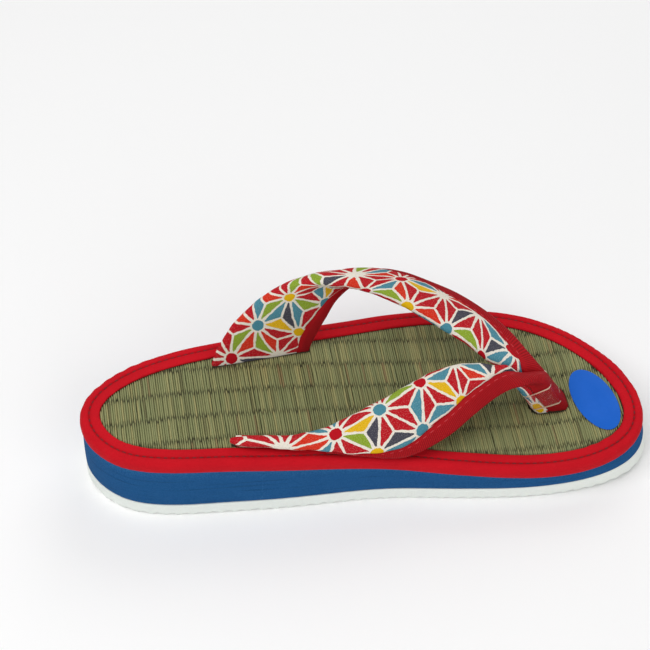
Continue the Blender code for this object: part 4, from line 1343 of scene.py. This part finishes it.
# The camera: what it looks at, how far away, and its angles
CAMERA_TARGET = (-0.01277, 0.05317, 0.015)
CAMERA_DISTANCE = 0.8735
CAMERA_TURN = -10.4013
CAMERA_HEIGHT = 49.5442
CAMERA_ROLL = 1.8016
CAMERA_LENS = 105.22
CAMERA_SHIFT = (0.0127, -0.0032)

# Lights: name, place, size, strength
LIGHTS = (
    ("key softbox", (-0.55, -0.25, 1.10), 0.9, 8.0),
    ("front fill", (0.45, -1.10, 0.75), 1.2, 4.4),
    ("far side fill", (0.60, 0.95, 0.80), 1.0, 4.4),
)
WORLD_STRENGTH = 0.37
FLOOR_HALF = 3.0


def make_camera():
    turn, height, roll = (math.radians(value) for value in (CAMERA_TURN, CAMERA_HEIGHT, CAMERA_ROLL))
    back = Vector((math.sin(turn) * math.cos(height), -math.cos(turn) * math.cos(height), math.sin(height)))
    right = Vector((0.0, 0.0, 1.0)).cross(back).normalized()
    up = back.cross(right)
    rolled_right = right * math.cos(roll) + up * math.sin(roll)
    rolled_up = up * math.cos(roll) - right * math.sin(roll)
    data = bpy.data.cameras.new("camera")
    data.lens = CAMERA_LENS
    data.sensor_width = 36.0
    data.shift_x, data.shift_y = CAMERA_SHIFT
    camera = bpy.data.objects.new("camera", data)
    bpy.context.scene.collection.objects.link(camera)
    axes = Matrix((rolled_right, rolled_up, back)).transposed().to_4x4()
    camera.matrix_world = Matrix.Translation(Vector(CAMERA_TARGET) + back * CAMERA_DISTANCE) @ axes
    bpy.context.scene.camera = camera


def make_lights():
    for name, place, width, strength in LIGHTS:
        data = bpy.data.lights.new(name, "AREA")
        data.size = width
        data.energy = strength
        light = bpy.data.objects.new(name, data)
        bpy.context.scene.collection.objects.link(light)
        light.location = place
        light.rotation_euler = (-Vector(place)).to_track_quat("-Z", "Y").to_euler()
    world = bpy.data.worlds.new("studio")
    world.use_nodes = True
    background = world.node_tree.nodes["Background"]
    background.inputs["Color"].default_value = (1.0, 1.0, 1.0, 1.0)
    background.inputs["Strength"].default_value = WORLD_STRENGTH
    bpy.context.scene.world = world
    bpy.context.scene.view_settings.view_transform = "Standard"


def make_floor(colours):
    mesh = bmesh.new()
    bmesh.ops.create_grid(mesh, x_segments=4, y_segments=4, size=FLOOR_HALF)
    data = bpy.data.meshes.new("floor")
    mesh.to_mesh(data)
    mesh.free()
    data.materials.append(floor_material(colours))
    floor = bpy.data.objects.new("floor", data)
    bpy.context.scene.collection.objects.link(floor)


# Operators and panel


def make_all(context, *makers):
    """Call each maker with the sole, the sizes and the colours."""
    sizes = context.scene.zori_sizes
    for make in makers:
        make(Sole(sizes), sizes, context.scene.zori_colours)


class ZORI_OT_stage(bpy.types.Operator):
    """Add the floor, the soft lights and the camera"""
    bl_idname = "zori.stage"
    bl_label = "Stage"

    def execute(self, context):
        make_camera()
        make_lights()
        make_floor(context.scene.zori_colours)
        return {"FINISHED"}


class ZORI_OT_sole(bpy.types.Operator):
    """Make the rippled rubber sole and the foam wedge"""
    bl_idname = "zori.sole"
    bl_label = "Rubber and foam sole"

    def execute(self, context):
        make_all(context, make_outsole, make_foam)
        return {"FINISHED"}


class ZORI_OT_mat(bpy.types.Operator):
    """Weave the rush mat and bind its edge"""
    bl_idname = "zori.mat"
    bl_label = "Rush mat and binding"

    def execute(self, context):
        make_all(context, make_mat, make_binding)
        return {"FINISHED"}


class ZORI_OT_straps(bpy.types.Operator):
    """Make the printed straps with their red edging"""
    bl_idname = "zori.straps"
    bl_label = "Printed straps and edging"

    def execute(self, context):
        make_all(context, make_straps, make_edging)
        return {"FINISHED"}


class ZORI_OT_small_pieces(bpy.types.Operator):
    """Add the clear band round the post and the oval label"""
    bl_idname = "zori.small_pieces"
    bl_label = "Post band and label"

    def execute(self, context):
        make_all(context, make_band, make_sticker)
        return {"FINISHED"}


class ZORI_PT_panel(bpy.types.Panel):
    """Lists the sandal's pieces and their sizes"""
    bl_idname = "ZORI_PT_panel"
    bl_label = "Zori sandal"
    bl_space_type = "VIEW_3D"
    bl_region_type = "UI"
    bl_category = "Zori"

    def draw(self, context):
        column = self.layout.column()
        for step in STEPS:
            column.operator(step.bl_idname)
        for values in (context.scene.zori_sizes, context.scene.zori_colours):
            for name in values.__annotations__:
                column.prop(values, name)


STEPS = (ZORI_OT_stage, ZORI_OT_sole, ZORI_OT_mat, ZORI_OT_straps, ZORI_OT_small_pieces)
CLASSES = (ZoriSizes, ZoriColours, *STEPS, ZORI_PT_panel)


def register():
    for kind in CLASSES:
        bpy.utils.register_class(kind)
    bpy.types.Scene.zori_sizes = PointerProperty(type=ZoriSizes)
    bpy.types.Scene.zori_colours = PointerProperty(type=ZoriColours)


def unregister():
    del bpy.types.Scene.zori_colours
    del bpy.types.Scene.zori_sizes
    for kind in reversed(CLASSES):
        bpy.utils.unregister_class(kind)


def main():
    register()
    bpy.ops.zori.stage()
    bpy.ops.zori.sole()
    bpy.ops.zori.mat()
    bpy.ops.zori.straps()
    bpy.ops.zori.small_pieces()


if __name__ == "__main__":
    main()
